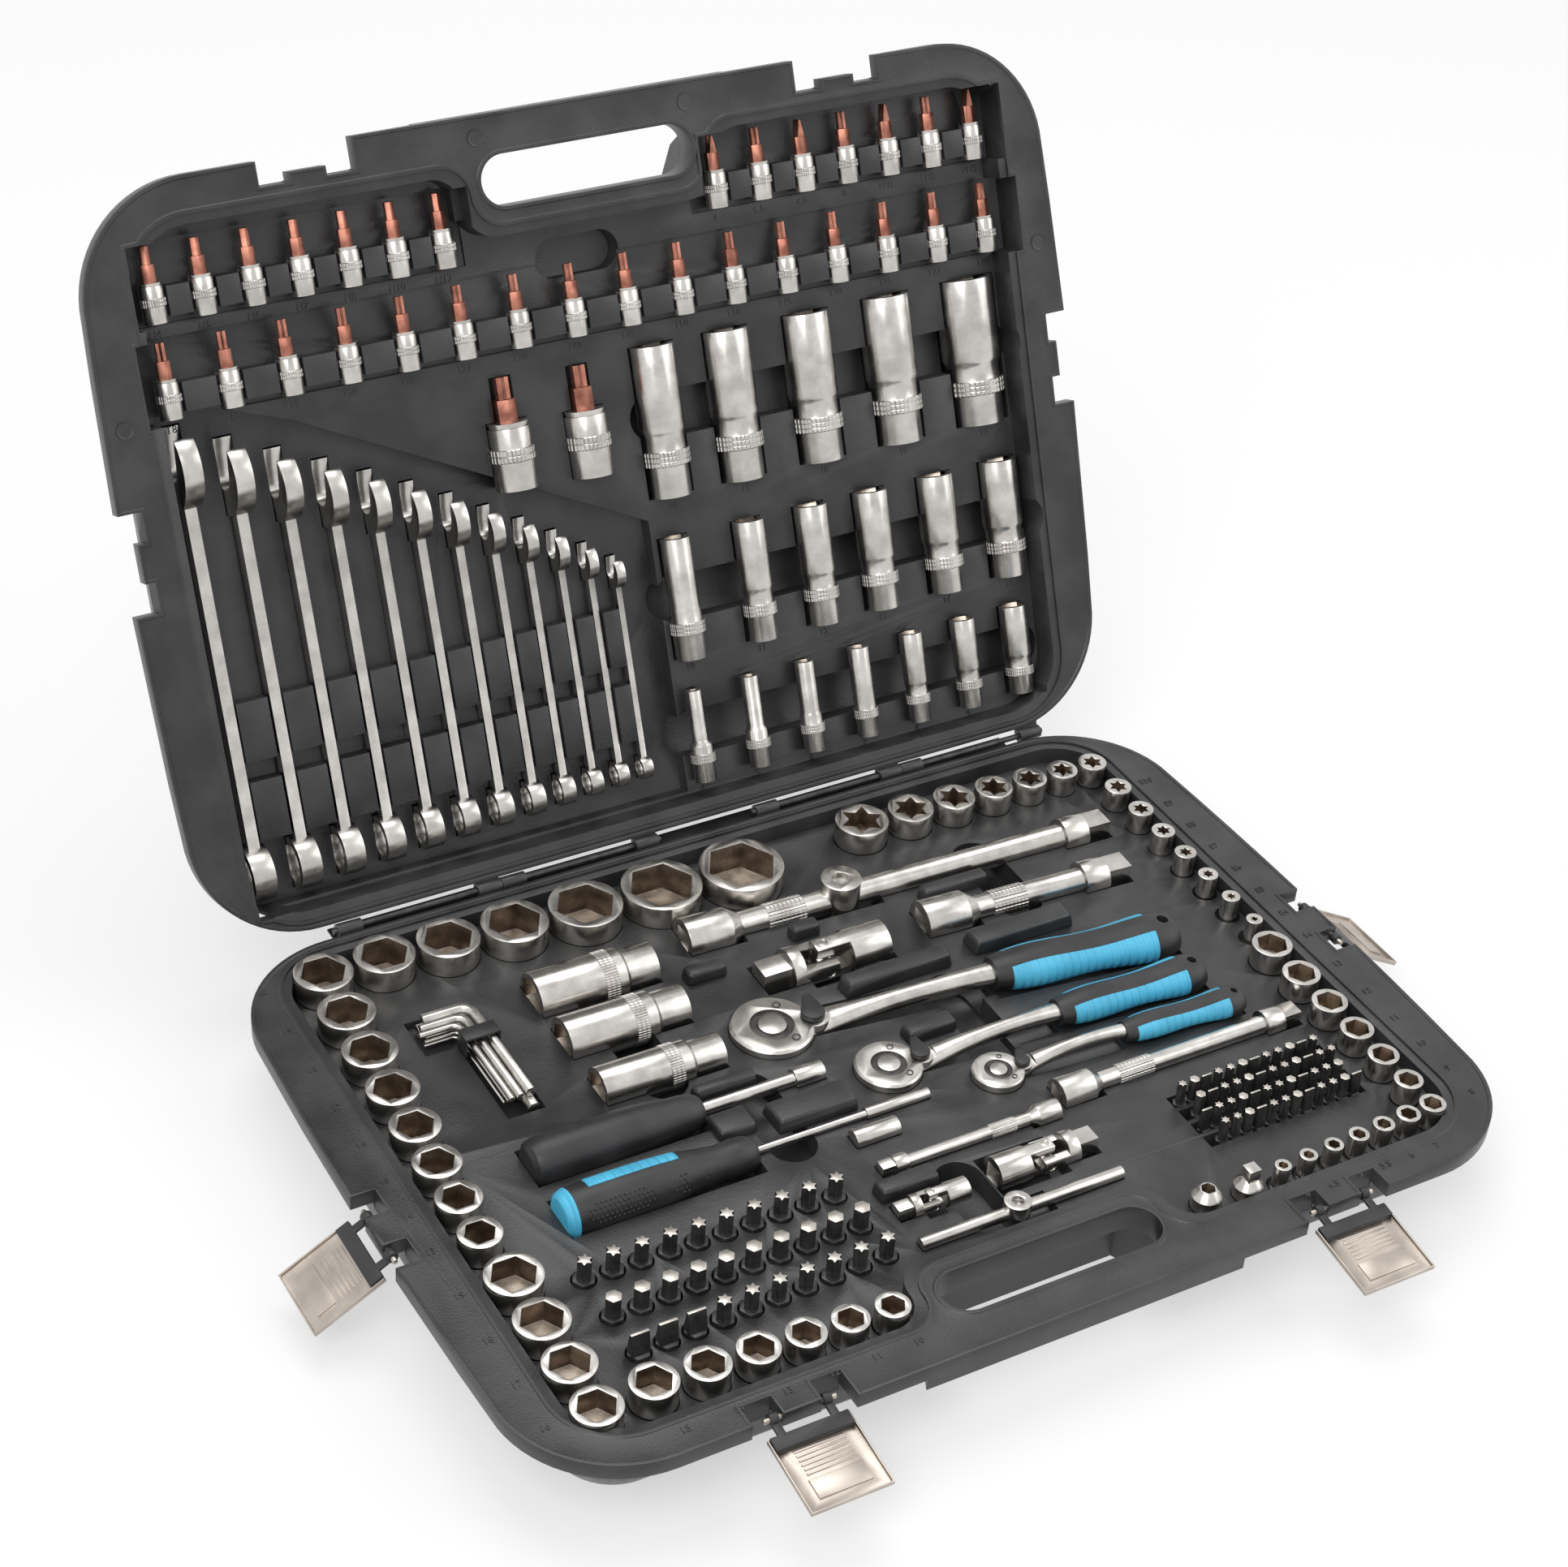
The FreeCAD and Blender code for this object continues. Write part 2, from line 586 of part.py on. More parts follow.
upright("half_inch_sockets", HALF, [((-214.8, 27.5), (-222.6, 220.8), [20, 19, 18, 17, 16, 15, 14, 13]),
                                    ((-182.6, 27.0), (10.7, 38.3), [21, 22, 24, 27, 30, 32])])
upright("three_eighth_sockets", THREE, [((-222.4, 334.2), (-220.4, 250.5), [16, 17, 18, 19]),
                                        ((-194.4, 332.3), (-80.2, 338.7), [15, 14, 13, 12, 11, 10])])
upright("quarter_inch_sockets", QUARTER, [((223.7, 207.1), (221.9, 337.7), [14, 13, 12, 11, 10, 9, 8]),
                                          ((206.5, 338.6), (130.1, 341.4), [7, 6, 5.5, 5, 4.5, 4])])
upright("star_sockets", STAR, [((86.6, 31.5), (227.7, 38.6), [24, 20, 18, 16, 14, 12, 11]),
                               ((228, 62.9), (227.5, 186.8), [10, 9, 8, 7, 6, 5, 4])], star=True)

adapters = []
for spot, round_top in (((112.7, 339.7), True), ((90.5, 337.4), False)):
    collar = turned("Adapter", [("Dims.three_drive_od / 2 - 1", None, "Dims.quarter_length - 6"),
                                ("Dims.three_drive_od / 2 - 1", "Dims.quarter_square * 0.62", "4")])
    if round_top:
        stem = square_bar("Stem", "Dims.quarter_square", "8", "Dims.quarter_length - 4")
        adapter = joined("Adapter", [collar, stem])
    else:
        bit_hole = prism("BitHole", 6, "Dims.bit_hex", "14", "Dims.quarter_length - 12")
        adapter = minus("Adapter", collar, [bit_hole])
    adapter.Placement = standing(spot, size("socket_top") - size("quarter_length"))
    adapters.append(adapter)
    pocket = Part.makeCylinder(size("three_drive_od") / 2 - 1 + CLEAR, ABOVE)
    pocket.Placement = adapter.Placement
    base_cuts.append(pocket)
node("drive_adapters", adapters, BASE)


# Lying tools of the base

def laid(piece, start, end, sections, level=None):
    piece.Placement = lying(start, end, size("tool_axis") if level is None else level)
    channel(base_cuts, piece.Placement, sections)
    return piece


def extension(family, bar, female, length):
    # socket end first, then the bar, then the square end
    bar_r = "Dims.%s / 2" % bar
    end_r = "Dims.%s / 2" % female
    square = "Dims." + family["square"]
    head = size(family["square"]) * 1.9
    tail = size(family["square"]) * 1.1
    plain = length - 1.3 * head - 2 * tail
    body = turned("Bar", [(end_r, None, head), (end_r, bar_r, head * 0.3), (bar_r, None, plain),
                          (end_r + " * 0.85", None, tail)])
    stub = square_bar("Stub", square, tail, length - tail)
    hole = square_bar("Mouth", square, "%s * 1.1 + 1" % square, "-1")
    sections = [(0, head * 1.3, size(female) / 2), (head * 1.3, length - 2 * tail, size(bar) / 2),
                (length - 2 * tail, length, size(female) * 0.425)]
    return minus("Extension", joined("ExtensionBody", [body, stub]), [hole]), sections


bars = []
long_bar, sections = extension(HALF, "half_bar", "half_female", 250)
laid(long_bar, (-39.1, 68.1), (208.7, 76.2), sections)
node("long_extension_bar", [long_bar], BASE)
for family, bar, female, length, start, end in (
        (HALF, "half_bar", "half_female", 122, (77.5, 106.6), (197.9, 112.6)),
        (THREE, "three_bar", "three_female", 142, (68.5, 246.2), (210.5, 246.2)),
        (QUARTER, "quarter_bar", "quarter_female", 98, (62.9, 253.9), (-34.5, 253.9))):
    piece, sections = extension(family, bar, female, length)
    bars.append(laid(piece, start, end, sections))
tee_bar = bound("Cylinder", "TeeBar", Radius="Dims.quarter_bar / 2", Height=110)
bars.append(laid(tee_bar, (-43.5, 303.5), (66.5, 303.5), [(0, 110, size("quarter_bar") / 2)]))
node("extension_bars", bars, BASE)

sparks = []
for width, start, end, nut in (("spark_od_large", (-127, 77.2), (-63, 77.2), 21),
                               ("spark_od_medium", (-127.5, 111.5), (-64, 111.5), 18),
                               ("spark_od_small", (-127.5, 149), (-62, 149), 16)):
    outer = "Dims.%s / 2" % width
    length = size("spark_length")
    body = turned("Spark", [(outer, None, "Dims.spark_length * 0.72"), (outer, outer + " * 0.86", "2"),
                            (outer + " * 0.86", None, "Dims.spark_length * 0.28 - 2")])
    holes = [prism("SparkNut", 6, str(nut), "Dims.spark_length * 0.6 + 1", "-1"),
             square_bar("SparkDrive", "Dims.three_square", "14", "Dims.spark_length - 13")]
    sparks.append(laid(minus("SparkSocket", body, holes), start, end, [(0, length, size(width) / 2)]))
node("spark_plug_sockets", sparks, BASE)


def yoke_joint(label, family, female, length, start, end):
    # two forks on a cross: the first fork's pin lies level, the second's stands upright
    radius = size(female) / 2
    slot = radius * 0.95
    web = 0.84 * slot
    pin = radius * 0.24
    middle = length / 2
    throat = 1.2 * radius
    square = size(family["square"])
    spot = lying(start, end, size("tool_axis"))
    running = size("rod_play")

    def fork(flip, male):
        stem = middle - throat
        body = Part.makeCylinder(radius, stem)
        if male:
            shoulder = stem - square * 1.2
            body = Part.makeCylinder(radius, shoulder, Vector(0, 0, square * 1.2))
            body = body.fuse(box_between((-square / 2, -square / 2, 0), (square / 2, square / 2, stem)))
        else:
            body = body.cut(box_between((-square / 2, -square / 2, -1),
                                        (square / 2, square / 2, square * 1.1)))
        tip = middle + slot * 0.45
        prongs = box_between((-web / 2, -radius, stem - 1), (web / 2, radius, tip))
        prongs = prongs.cut(box_between((-radius, -slot / 2, stem), (radius, slot / 2, tip + 1)))
        round_bar = Part.makeCylinder(radius, length)
        body = body.fuse(prongs.common(round_bar))
        body = body.cut(Part.makeCylinder(pin + running, 4 * radius, Vector(0, -2 * radius, middle),
                                          Vector(0, 1, 0)))
        if flip:
            body.rotate(Vector(0, 0, middle), Vector(0, 1, 0), 180)
            body.rotate(Vector(0, 0, middle), UP, 90)
        return body

    core = box_between((-web / 2 + 0.3, -web / 2, middle - web / 2 + 0.3),
                       (web / 2, web / 2, middle + web / 2 - 0.3))
    core = core.common(Part.makeSphere(web * 0.72, Vector(0, 0, middle)))
    for axis in (Vector(1, 0, 0), Vector(0, 1, 0)):
        bar = Part.makeCylinder(pin, 1.9 * radius, Vector(0, 0, middle) - axis * (0.95 * radius), axis)
        core = core.fuse(bar)
    made(label + "_inner_fork", fork(False, True), BASE.multiply(spot))
    made(label + "_cross", core.removeSplitter(), BASE.multiply(spot))
    made(label + "_outer_fork", fork(True, False), BASE.multiply(spot))
    channel(base_cuts, spot, [(0, middle, radius)])
    sway = radius + 0.11 * middle + 1.5
    trough = box_between((-radius - 1.5, -sway, middle - radius), (ABOVE, sway, length + 2.5))
    trough.Placement = spot
    base_cuts.append(trough)


yoke_joint("half_joint", HALF, "half_female", 71, (-19, 110.5), (52.4, 110.5))
yoke_joint("three_joint", THREE, "three_female", 55.5, (66.7, 278.8), (11.2, 278.8))
yoke_joint("quarter_joint", QUARTER, "quarter_female", 37.6, (-42.8, 280.8), (-5.2, 280.8))


# Sliding tee heads

def tee_slider(label, along, spot, bar, radius, height, lift, travel):
    play = size("rod_play")
    bar_r = size(bar) / 2
    place = lying(spot, (spot[0] + along[0], spot[1] + along[1]), size("tool_axis"))
    body = Part.makeCylinder(radius, height, Vector(lift - height, 0, 0), Vector(1, 0, 0))
    body = body.cut(Part.makeCylinder(radius * 0.45, 3, Vector(lift - 3, 0, 0), Vector(1, 0, 0)))
    body = body.cut(Part.makeCylinder(bar_r + play, 4 * radius, Vector(0, 0, -2 * radius)))
    made(label, body, BASE.multiply(place))
    trough = box_between((lift - height - CLEAR, -radius - 0.5, -radius - travel - 0.6),
                         (ABOVE, radius + 0.5, radius + travel + 0.6))
    trough.Placement = place
    base_cuts.append(trough)


tee_slider("tee_slider", (247.8, 8.1), (50.6, 71.03), "half_bar", 10.5, 24, 12.5, 10)

tee_slider("tee_bar_slider", (1, 0), (8.4, 303.5), "quarter_bar", 6.5, 13, 6, 12)


# Drivers

def handle(name, width, length, cap):
    outer = "Dims.%s / 2" % width
    body = turned(name, [(outer + " * 0.8", outer, cap), (outer, None, "Dims.%s - %s - 14" % (length, cap)),
                         (outer, outer + " * 0.55", "14")])
    ends = size(length)
    return body, [(0, ends, size(width) / 2)]


grips = []
shafts = []
inlays = []
for width, length, start, end, shaft in (
        ("spinner_diameter", "spinner_length", (-180.5, 182), (-24, 182),
         [(3.4, None, 50), (5.2, None, 16)]),
        ("driver_diameter", "driver_length", (-181.5, 217.8), (14, 217.8),
         [(1.9, None, 60), (2.9, None, 35)])):
    body, sections = handle("Grip", width, length, 6)
    flutes = []
    for turn in range(6):
        flute = bound("Cylinder", "Flute", Radius="Dims.%s * 0.16" % width,
                      Height="Dims.%s * 0.62" % length,
                      Placement__Base__z="Dims.%s * 0.14" % length)
        swing = math.radians(60 * turn)
        flute.setExpression("Placement.Base.x", "Dims.%s * 0.6 * %.4f" % (width, math.cos(swing)))
        flute.setExpression("Placement.Base.y", "Dims.%s * 0.6 * %.4f" % (width, math.sin(swing)))
        flutes.append(flute)
    fluted = minus("FlutedGrip", body, flutes)
    if length == "driver_length":
        sides = []
        for side in ("-Dims.driver_diameter", "Dims.driver_diameter * 0.2"):
            sides.append(bound("Box", "InlaySide", Length="2 * Dims.driver_diameter",
                               Width="Dims.driver_diameter * 0.8", Height="Dims.driver_length * 0.68",
                               Placement__Base__x="-Dims.driver_diameter", Placement__Base__y=side,
                               Placement__Base__z="-1"))
        inlay = doc.addObject("Part::Common", "Inlay")
        inlay.Base = fluted
        inlay.Tool = joined("InlaySides", sides)
        inlay.Placement = lying(start, end, size("tool_axis"))
        inlays.append(inlay)
        fluted = minus("DriverCore", fluted, sides)
    grips.append(laid(fluted, start, end, sections))
    stem = turned("Shaft", shaft)
    along = size(length)
    lift = lying(start, end, size("tool_axis"))
    stem.Placement = lift.multiply(Placement(Vector(0, 0, along), Rotation()))
    level = along
    for radius, _, reach in shaft:
        channel(base_cuts, lift, [(level, level + reach, radius)])
        level += reach
    shafts.append(stem)
holder = turned("Holder", [(5, None, 24)])
holder = minus("BitHolder", holder, [prism("HolderHex", 6, "Dims.bit_hex", "12", "13")])
shafts.append(laid(holder, (-36, 231), (-12, 231), [(0, 24, 5)]))
node("driver_handles", grips, BASE)
node("driver_inlay", inlays, BASE)
node("driver_shafts", shafts, BASE)


# Hex keys: nested L bends in two layers, held by a clip

def hex_wire(across, middle, normal):
    side = across / math.sqrt(3)
    flat = normal.cross(UP)
    points = []
    for turn in range(6):
        angle = math.radians(60 * turn)
        points.append(middle + flat * (side * math.cos(angle)) + UP * (side * math.sin(angle)))
    return Part.makePolygon(points + points[:1])


keys = []
CORNER = (-156, 70)
layers = [(-5.5, [5, 4, 3]), (-11.5, [6, 2.5, 2, 1.5])]
spread = 0
for level, widths in layers:
    shift = 0
    for across in widths:
        across = float(across)
        bend = across * 1.2 + 1
        x = CORNER[0] - shift - across / 2
        reach = CORNER[1] + shift + across / 2
        short = 14 + 2.2 * across
        tall = 46 + 4.5 * across
        path = Part.Wire([
            Part.makeLine(Vector(x - short, -reach, level), Vector(x - bend, -reach, level)),
            Part.Arc(Vector(x - bend, -reach, level),
                     Vector(x - bend * (1 - math.sqrt(0.5)), -reach - bend * (1 - math.sqrt(0.5)), level),
                     Vector(x, -reach - bend, level)).toShape(),
            Part.makeLine(Vector(x, -reach - bend, level), Vector(x, -reach - tall, level))])
        profile = hex_wire(across, Vector(x - short, -reach, level), Vector(1, 0, 0))
        keys.append(made("Key", path.makePipeShell([profile], True, False)))
        shift += across * 1.16 + size("key_gap")
    spread = max(spread, shift)
node("hex_keys", keys, BASE)
clip_wall = size("clip_wall")
clip_low = (CORNER[0] - spread - clip_wall, -100, -16.5)
clip_high = (CORNER[0] + clip_wall, -100 + size("clip_length"), -0.8)
clip = box_between(clip_low, clip_high)
clip = clip.cut(box_between((CORNER[0] - spread - 0.2, -110, -15.1), (CORNER[0] + 0.4, -80, -2.2)))
made("hex_key_clip", clip, BASE)
base_cuts.append(box_between((CORNER[0] - spread - clip_wall - 0.4, -148, -16.9),
                             (CORNER[0] + 2, -66, ABOVE)))
base_cuts.append(box_between((CORNER[0] - 34, -92, -15.4), (CORNER[0] - 4, -66, ABOVE)))


# Ratchets

def oval(x, half_wide, half_high, level):
    curve = Part.Ellipse(Vector(0, 0, 0), max(half_wide, half_high), min(half_wide, half_high))
    wire = Part.Wire(curve.toShape())
    if half_high > half_wide:
        wire.rotate(Vector(), UP, 90)
    wire.Placement = Placement(Vector(x, 0, level), Rotation(Vector(0, 1, 0), UP, Vector(1, 0, 0), "ZXY"))
    return wire


def ratchet(label, k, square, head, tail, grip_start, grip_end):
    # local X along the handle from the head's middle, Z up from the rim plane
    along = Vector(tail[0] - head[0], head[1] - tail[1], 0)
    spot = Placement(Vector(head[0], -head[1], 0), Rotation(Vector(1, 0, 0), along))
    top = size("ratchet_top")
    low = top - 15 * k
    grip_level = size("grip_axis")
    head_r = 21 * k
    gear_r = 11 * k
    button_r = 7.2 * k
    lever_x = 21.5 * k
    play = size("rod_play")
    disc = Part.makeCylinder(head_r, top - low, Vector(0, 0, low))
    disc = disc.makeChamfer(1.2 * k, [edge for edge in disc.Edges if len(edge.Vertexes) == 1])
    pad = Part.makeCylinder(8.5 * k, top - low - 1, Vector(lever_x, 0, low + 1))
    neck = Part.makeLoft([oval(14 * k, 10 * k, 6 * k, (top + low) / 2),
                          oval(34 * k, 7.5 * k, 6 * k, -11 * k - 1),
                          oval(grip_start + 6, 7 * k, 6 * k, grip_level)], True, False)
    body = disc.fuse([pad, neck])
    body = body.cut(box_between((-40 * k, -40 * k, top), (lever_x + 9 * k, 40 * k, top + 20)))
    bore = Part.makeCylinder(gear_r + play, 40, Vector(0, 0, low - 5))
    socket_hole = Part.makeCylinder(2 * k + play, 5 * k, Vector(lever_x, 0, top - 4 * k))
    body = body.cut([bore, socket_hole]).removeSplitter()
    long = grip_end - grip_start
    stations = [(0, 9, 8), (0.06, 10.5, 9), (0.3, 12.5, 10.3),
                (0.75, 13.5, 10.6), (0.97, 12.5, 10), (1, 10.5, 8.5)]
    ovals = [oval(grip_start + long * part, wide * k, high * k, grip_level) for part, wide, high in stations]
    grip = Part.makeLoft(ovals, True, False)
    hang = Part.makeCylinder(3 * k, 40, Vector(grip_end - 7 * k, 0, -20))
    grip = grip.cut([body, hang])
    flank = 40 * k
    sides = []
    for side in (-1, 1):
        sides.append(box_between((grip_start + 0.08 * long, min(side * 6.5 * k, side * flank), -30),
                                 (grip_end - 0.14 * long, max(side * 6.5 * k, side * flank), 30)))
    inlay = grip.common(sides[0].fuse(sides[1]))
    core = grip.cut(sides)
    made(label + "_body", body, BASE.multiply(spot))
    made(label + "_grip", core, BASE.multiply(spot))
    made(label + "_inlay", inlay, BASE.multiply(spot))
    gear = Part.makeCylinder(gear_r, top - low, Vector(0, 0, low))
    side = square / 2
    gear = gear.fuse(box_between((-side, -side, low - square), (side, side, low + 1)))
    gear = gear.cut(Part.makeCylinder(button_r + play, 7 * k, Vector(0, 0, top - 7 * k)))
    made(label + "_drive", gear, BASE.multiply(spot))
    travel = size("button_travel") * k
    button = Part.makeCylinder(button_r, 7 * k - travel - 0.3, Vector(0, 0, top - 7 * k + travel + 0.6))
    made(label + "_button", button, BASE.multiply(spot))
    lift = size("lever_play")
    lever = Part.makeCylinder(6 * k, 3.2 * k, Vector(lever_x, 0, top + lift))
    thumb = [Vector(lever_x + ahead * k, across * k, top + lift)
             for ahead, across in ((-5.8, 1.4), (5.8, 1.4), (3.5, 12.5), (-0.5, 12.5))]
    lever = lever.fuse(prism_of(Part.makePolygon(thumb + thumb[:1]), 3.2 * k))
    pivot = Part.makeCylinder(2 * k, 3.6 * k, Vector(lever_x, 0, top - 3.4 * k))
    lever = lever.fuse(pivot).removeSplitter()
    made(label + "_lever", lever, BASE.multiply(spot))
    beds = [Part.makeCylinder(head_r + CLEAR, ABOVE, Vector(0, 0, low - CLEAR)),
            Part.makeCylinder(side * 1.5, ABOVE, Vector(0, 0, low - square - CLEAR)),
            box_between((0, -10 * k - CLEAR, low - CLEAR), (grip_start, 10 * k + CLEAR, ABOVE)),
            box_between((lever_x - 12 * k, -14 * k, top - 1), (lever_x + 12 * k, 14 * k, ABOVE))]
    wide = 14.4 * k + 2 * CLEAR
    bed = Part.makeLoft([oval(grip_start - 1, wide, 11.2 * k + CLEAR, grip_level),
                         oval(grip_end + 1, wide, 11.2 * k + CLEAR, grip_level)], True, False)
    beds += [bed, box_between((grip_start - 1, -wide, grip_level), (grip_end + 1, wide, ABOVE))]
    for shape in beds:
        shape.Placement = spot.multiply(shape.Placement)
        base_cuts.append(shape)


ratchet("half_ratchet", 1.0, 12.7, (-31.4, 145.8), (188.3, 170.8), 118, 221)
ratchet("three_ratchet", 0.8, 9.5, (5.5, 194.5), (183.8, 201.2), 94, 178)
ratchet("quarter_ratchet", 0.62, 6.35, (51.3, 220.6), (189.4, 227.9), 70, 138)


# Bits of the base

def bit(across, body, length, kind):
    shank = prism("Bit", 6, across, body, "0")
    if kind == "hex":
        tip = prism("Tip", 6, "%s * 0.7" % across, "%s - %s" % (length, body), body)
    elif kind == "slot":
        tip = bound("Wedge", "Blade", Xmin="-(%s) * 0.45" % across, Xmax="(%s) * 0.45" % across,
                    Zmin="-(%s) * 0.3" % across, Zmax="(%s) * 0.3" % across,
                    X2min="-(%s) * 0.45" % across, X2max="(%s) * 0.45" % across,
                    Z2min="-(%s) * 0.08" % across, Z2max="(%s) * 0.08" % across,
                    Ymin="0", Ymax="%s - %s" % (length, body))
        tip.Placement = Placement(Vector(0, 0, 0), Rotation(Vector(1, 0, 0), 90))
        tip.setExpression("Placement.Base.z", body)
    else:
        star = [prism("Tip", 3, "%s * 0.38" % across, "%s - %s" % (length, body), body) for _ in range(2)]
        star[1].Placement = Placement(star[1].Placement.Base, Rotation(UP, 60))
        tip = joined("StarTip", star)
    return joined("OneBit", [shank, tip])


large = []
KINDS = (["star"] * 10, ["hex"] * 10, ["slot"] * 3 + ["star"] * 7)
for kinds, start, end in zip(KINDS, ((-188.7, 256), (-187.3, 281.2), (-187.1, 305.2)),
                             ((-61.9, 258.5), (-61.2, 280.4), (-60.2, 301.4))):
    for kind, spot in zip(kinds, even_row(start, end, len(kinds))):
        piece = bit("Dims.large_bit_hex", "Dims.large_bit_body", "Dims.large_bit_length", kind)
        level = size("socket_top") - size("large_bit_length")
        piece.Placement = standing(spot, level)
        large.append(piece)
        pocket = Part.makeCylinder(size("large_bit_hex") * 0.578 + CLEAR, ABOVE)
        pocket.Placement = standing(spot, level)
        base_cuts.append(pocket)
node("large_bits", large, BASE)

small = []
BLOCK = (162.5, 288)
for line in range(4):
    for number in range(12):
        stagger = 0.5 * (line % 2) - 0.25
        spot = (BLOCK[0] + (number - 5.5 + stagger) * size("small_bit_pitch"),
                BLOCK[1] + (line - 1.5) * size("small_bit_row"))
        kind = ("star", "hex", "slot", "star")[(line + number) % 4]
        piece = bit("Dims.bit_hex", "Dims.small_bit_body", "Dims.small_bit_length", kind)
        piece.Placement = standing(spot, size("small_bit_top") - size("small_bit_length"))
        small.append(piece)
    reach = BLOCK[1] + (line - 1.5) * size("small_bit_row")
    half = 6.5 * size("small_bit_pitch")
    base_cuts.append(box_between((BLOCK[0] - half, -reach - size("bit_hex") * 0.6, size("small_bit_top")
                                  - size("small_bit_length") - CLEAR),
                                 (BLOCK[0] + half, -reach + size("bit_hex") * 0.6, ABOVE)))
node("small_bits", small, BASE)


# Lid tools

sleeves = []
tips = []


def bit_socket(x, tip_reach, kind, thick, sleeve_length, bit_length, hex_size, top):
    outer = "Dims.%s / 2" % thick
    radius = size(thick) / 2
    height = top - radius
    long = size(sleeve_length)
    body = turned("Sleeve", [(outer, outer + " * 0.92", "Dims.%s * 0.08" % sleeve_length),
                             (outer, None, "Dims.%s * 0.92" % sleeve_length)])
    square = square_bar("SleeveDrive", hex_size, "Dims.%s * 0.4 + 1" % sleeve_length,
                        "Dims.%s * 0.6" % sleeve_length)
    hole = prism("SleeveHex", 6, hex_size + " + 0.1", "Dims.%s * 0.45 + 1" % sleeve_length, "-1")
    piece = minus("BitSleeve", body, [square, hole])
    start = tip_reach - size(bit_length)
    piece.Placement = in_lid(x, start, height)
    sleeves.append(piece)
    tip = bit(hex_size, "Dims.%s * 0.5" % bit_length,
              "Dims.%s" % bit_length, kind)
    shank = prism("Shank", 6, hex_size, "Dims.bit_shank", "-Dims.bit_shank")
    tip = joined("BitTip", [tip, shank])
    tip.Placement = in_lid(x, start, height).multiply(Placement(Vector(), Rotation(Vector(1, 0, 0), 180)))
    tips.append(tip)
    bed = in_lid(x, start, height)
    channel(lid_cuts, bed, [(0, long, radius)])
    channel(lid_cuts, in_lid(x, tip_reach, height), [(0, size(bit_length), size(hex_size[5:]) * 0.58)])


def bit_row(start, end, count, tip_reach, kinds):
    spots = even_row((start, 0), (end, 0), count)
    for number, (x, _) in enumerate(spots):
        bit_socket(x, tip_reach, kinds[number % len(kinds)], "sleeve_diameter", "sleeve_length",
                   "bit_reach", "Dims.bit_hex", size("bit_top"))
    pitch = (end - start) / (count - 1)
    low = tip_reach - size("bit_reach") - size("sleeve_length") - 1.5
    trench = box_between((start - pitch / 2, low, -20), (end + pitch / 2, tip_reach + 1.5, ABOVE))
    lid_trenches.append(trench)
    lid_cuts.append(trench)
    half = (pitch - size("sleeve_diameter")) / 2 - size("block_gap")
    for x, _ in spots[:-1]:
        between = x + pitch / 2
        lid_blocks.append(box_between((between - half, low + 4, -21),
                                      (between + half, low + 4 + size("block_width"), size("block_top"))))


bit_row(-225, -77.5, 7, 342, ["hex"])
bit_row(73.6, 226.3, 7, 346, ["slot", "star"])
bit_row(-226, 228, 16, 297, ["star"])
for x, top_reach in ((-57, 248), (-15, 246)):
    bit_socket(x, top_reach, "star", "big_sleeve_diameter", "big_sleeve_length", "big_bit_reach",
               "Dims.large_bit_hex", size("deep_top"))
node("bit_sleeves", sleeves, LID)
node("bit_tips", tips, LID)

deeps = []
for family, length, reach, places in (
        (HALF, "deep_half_length", 248.5, [(27.2, 16), (69.8, 17), (117.2, 18), (165.7, 19), (216.6, 22)]),
        (THREE, "deep_three_length", 149.5,
         [(23.8, 10), (66.7, 11), (104.2, 12), (140.7, 13), (181.3, 14), (221.5, 15)]),
        (QUARTER, "deep_quarter_length", 69,
         [(x, nut) for nut, (x, _) in enumerate(even_row((20.6, 0), (219.2, 0), 7), 4)])):
    for x, nut in places:
        piece = socket(family, nut, length, deep=True)
        radius = socket_width(family, nut) / 2 + size("deep_ring")
        tail = reach - size(length)
        spot = in_lid(x, tail, size("deep_top") - radius)
        spot = Placement(spot.Base, Rotation(UP, Vector(1, 0, 0), Vector(0, 1, 0), "ZXY"))
        piece.Placement = spot
        deeps.append(piece)
        channel(lid_cuts, spot, [(0, size(length), radius)])
node("deep_sockets", deeps, LID)


# Combination spanners, on edge in the lid: jaw away from the hinge, ring near it

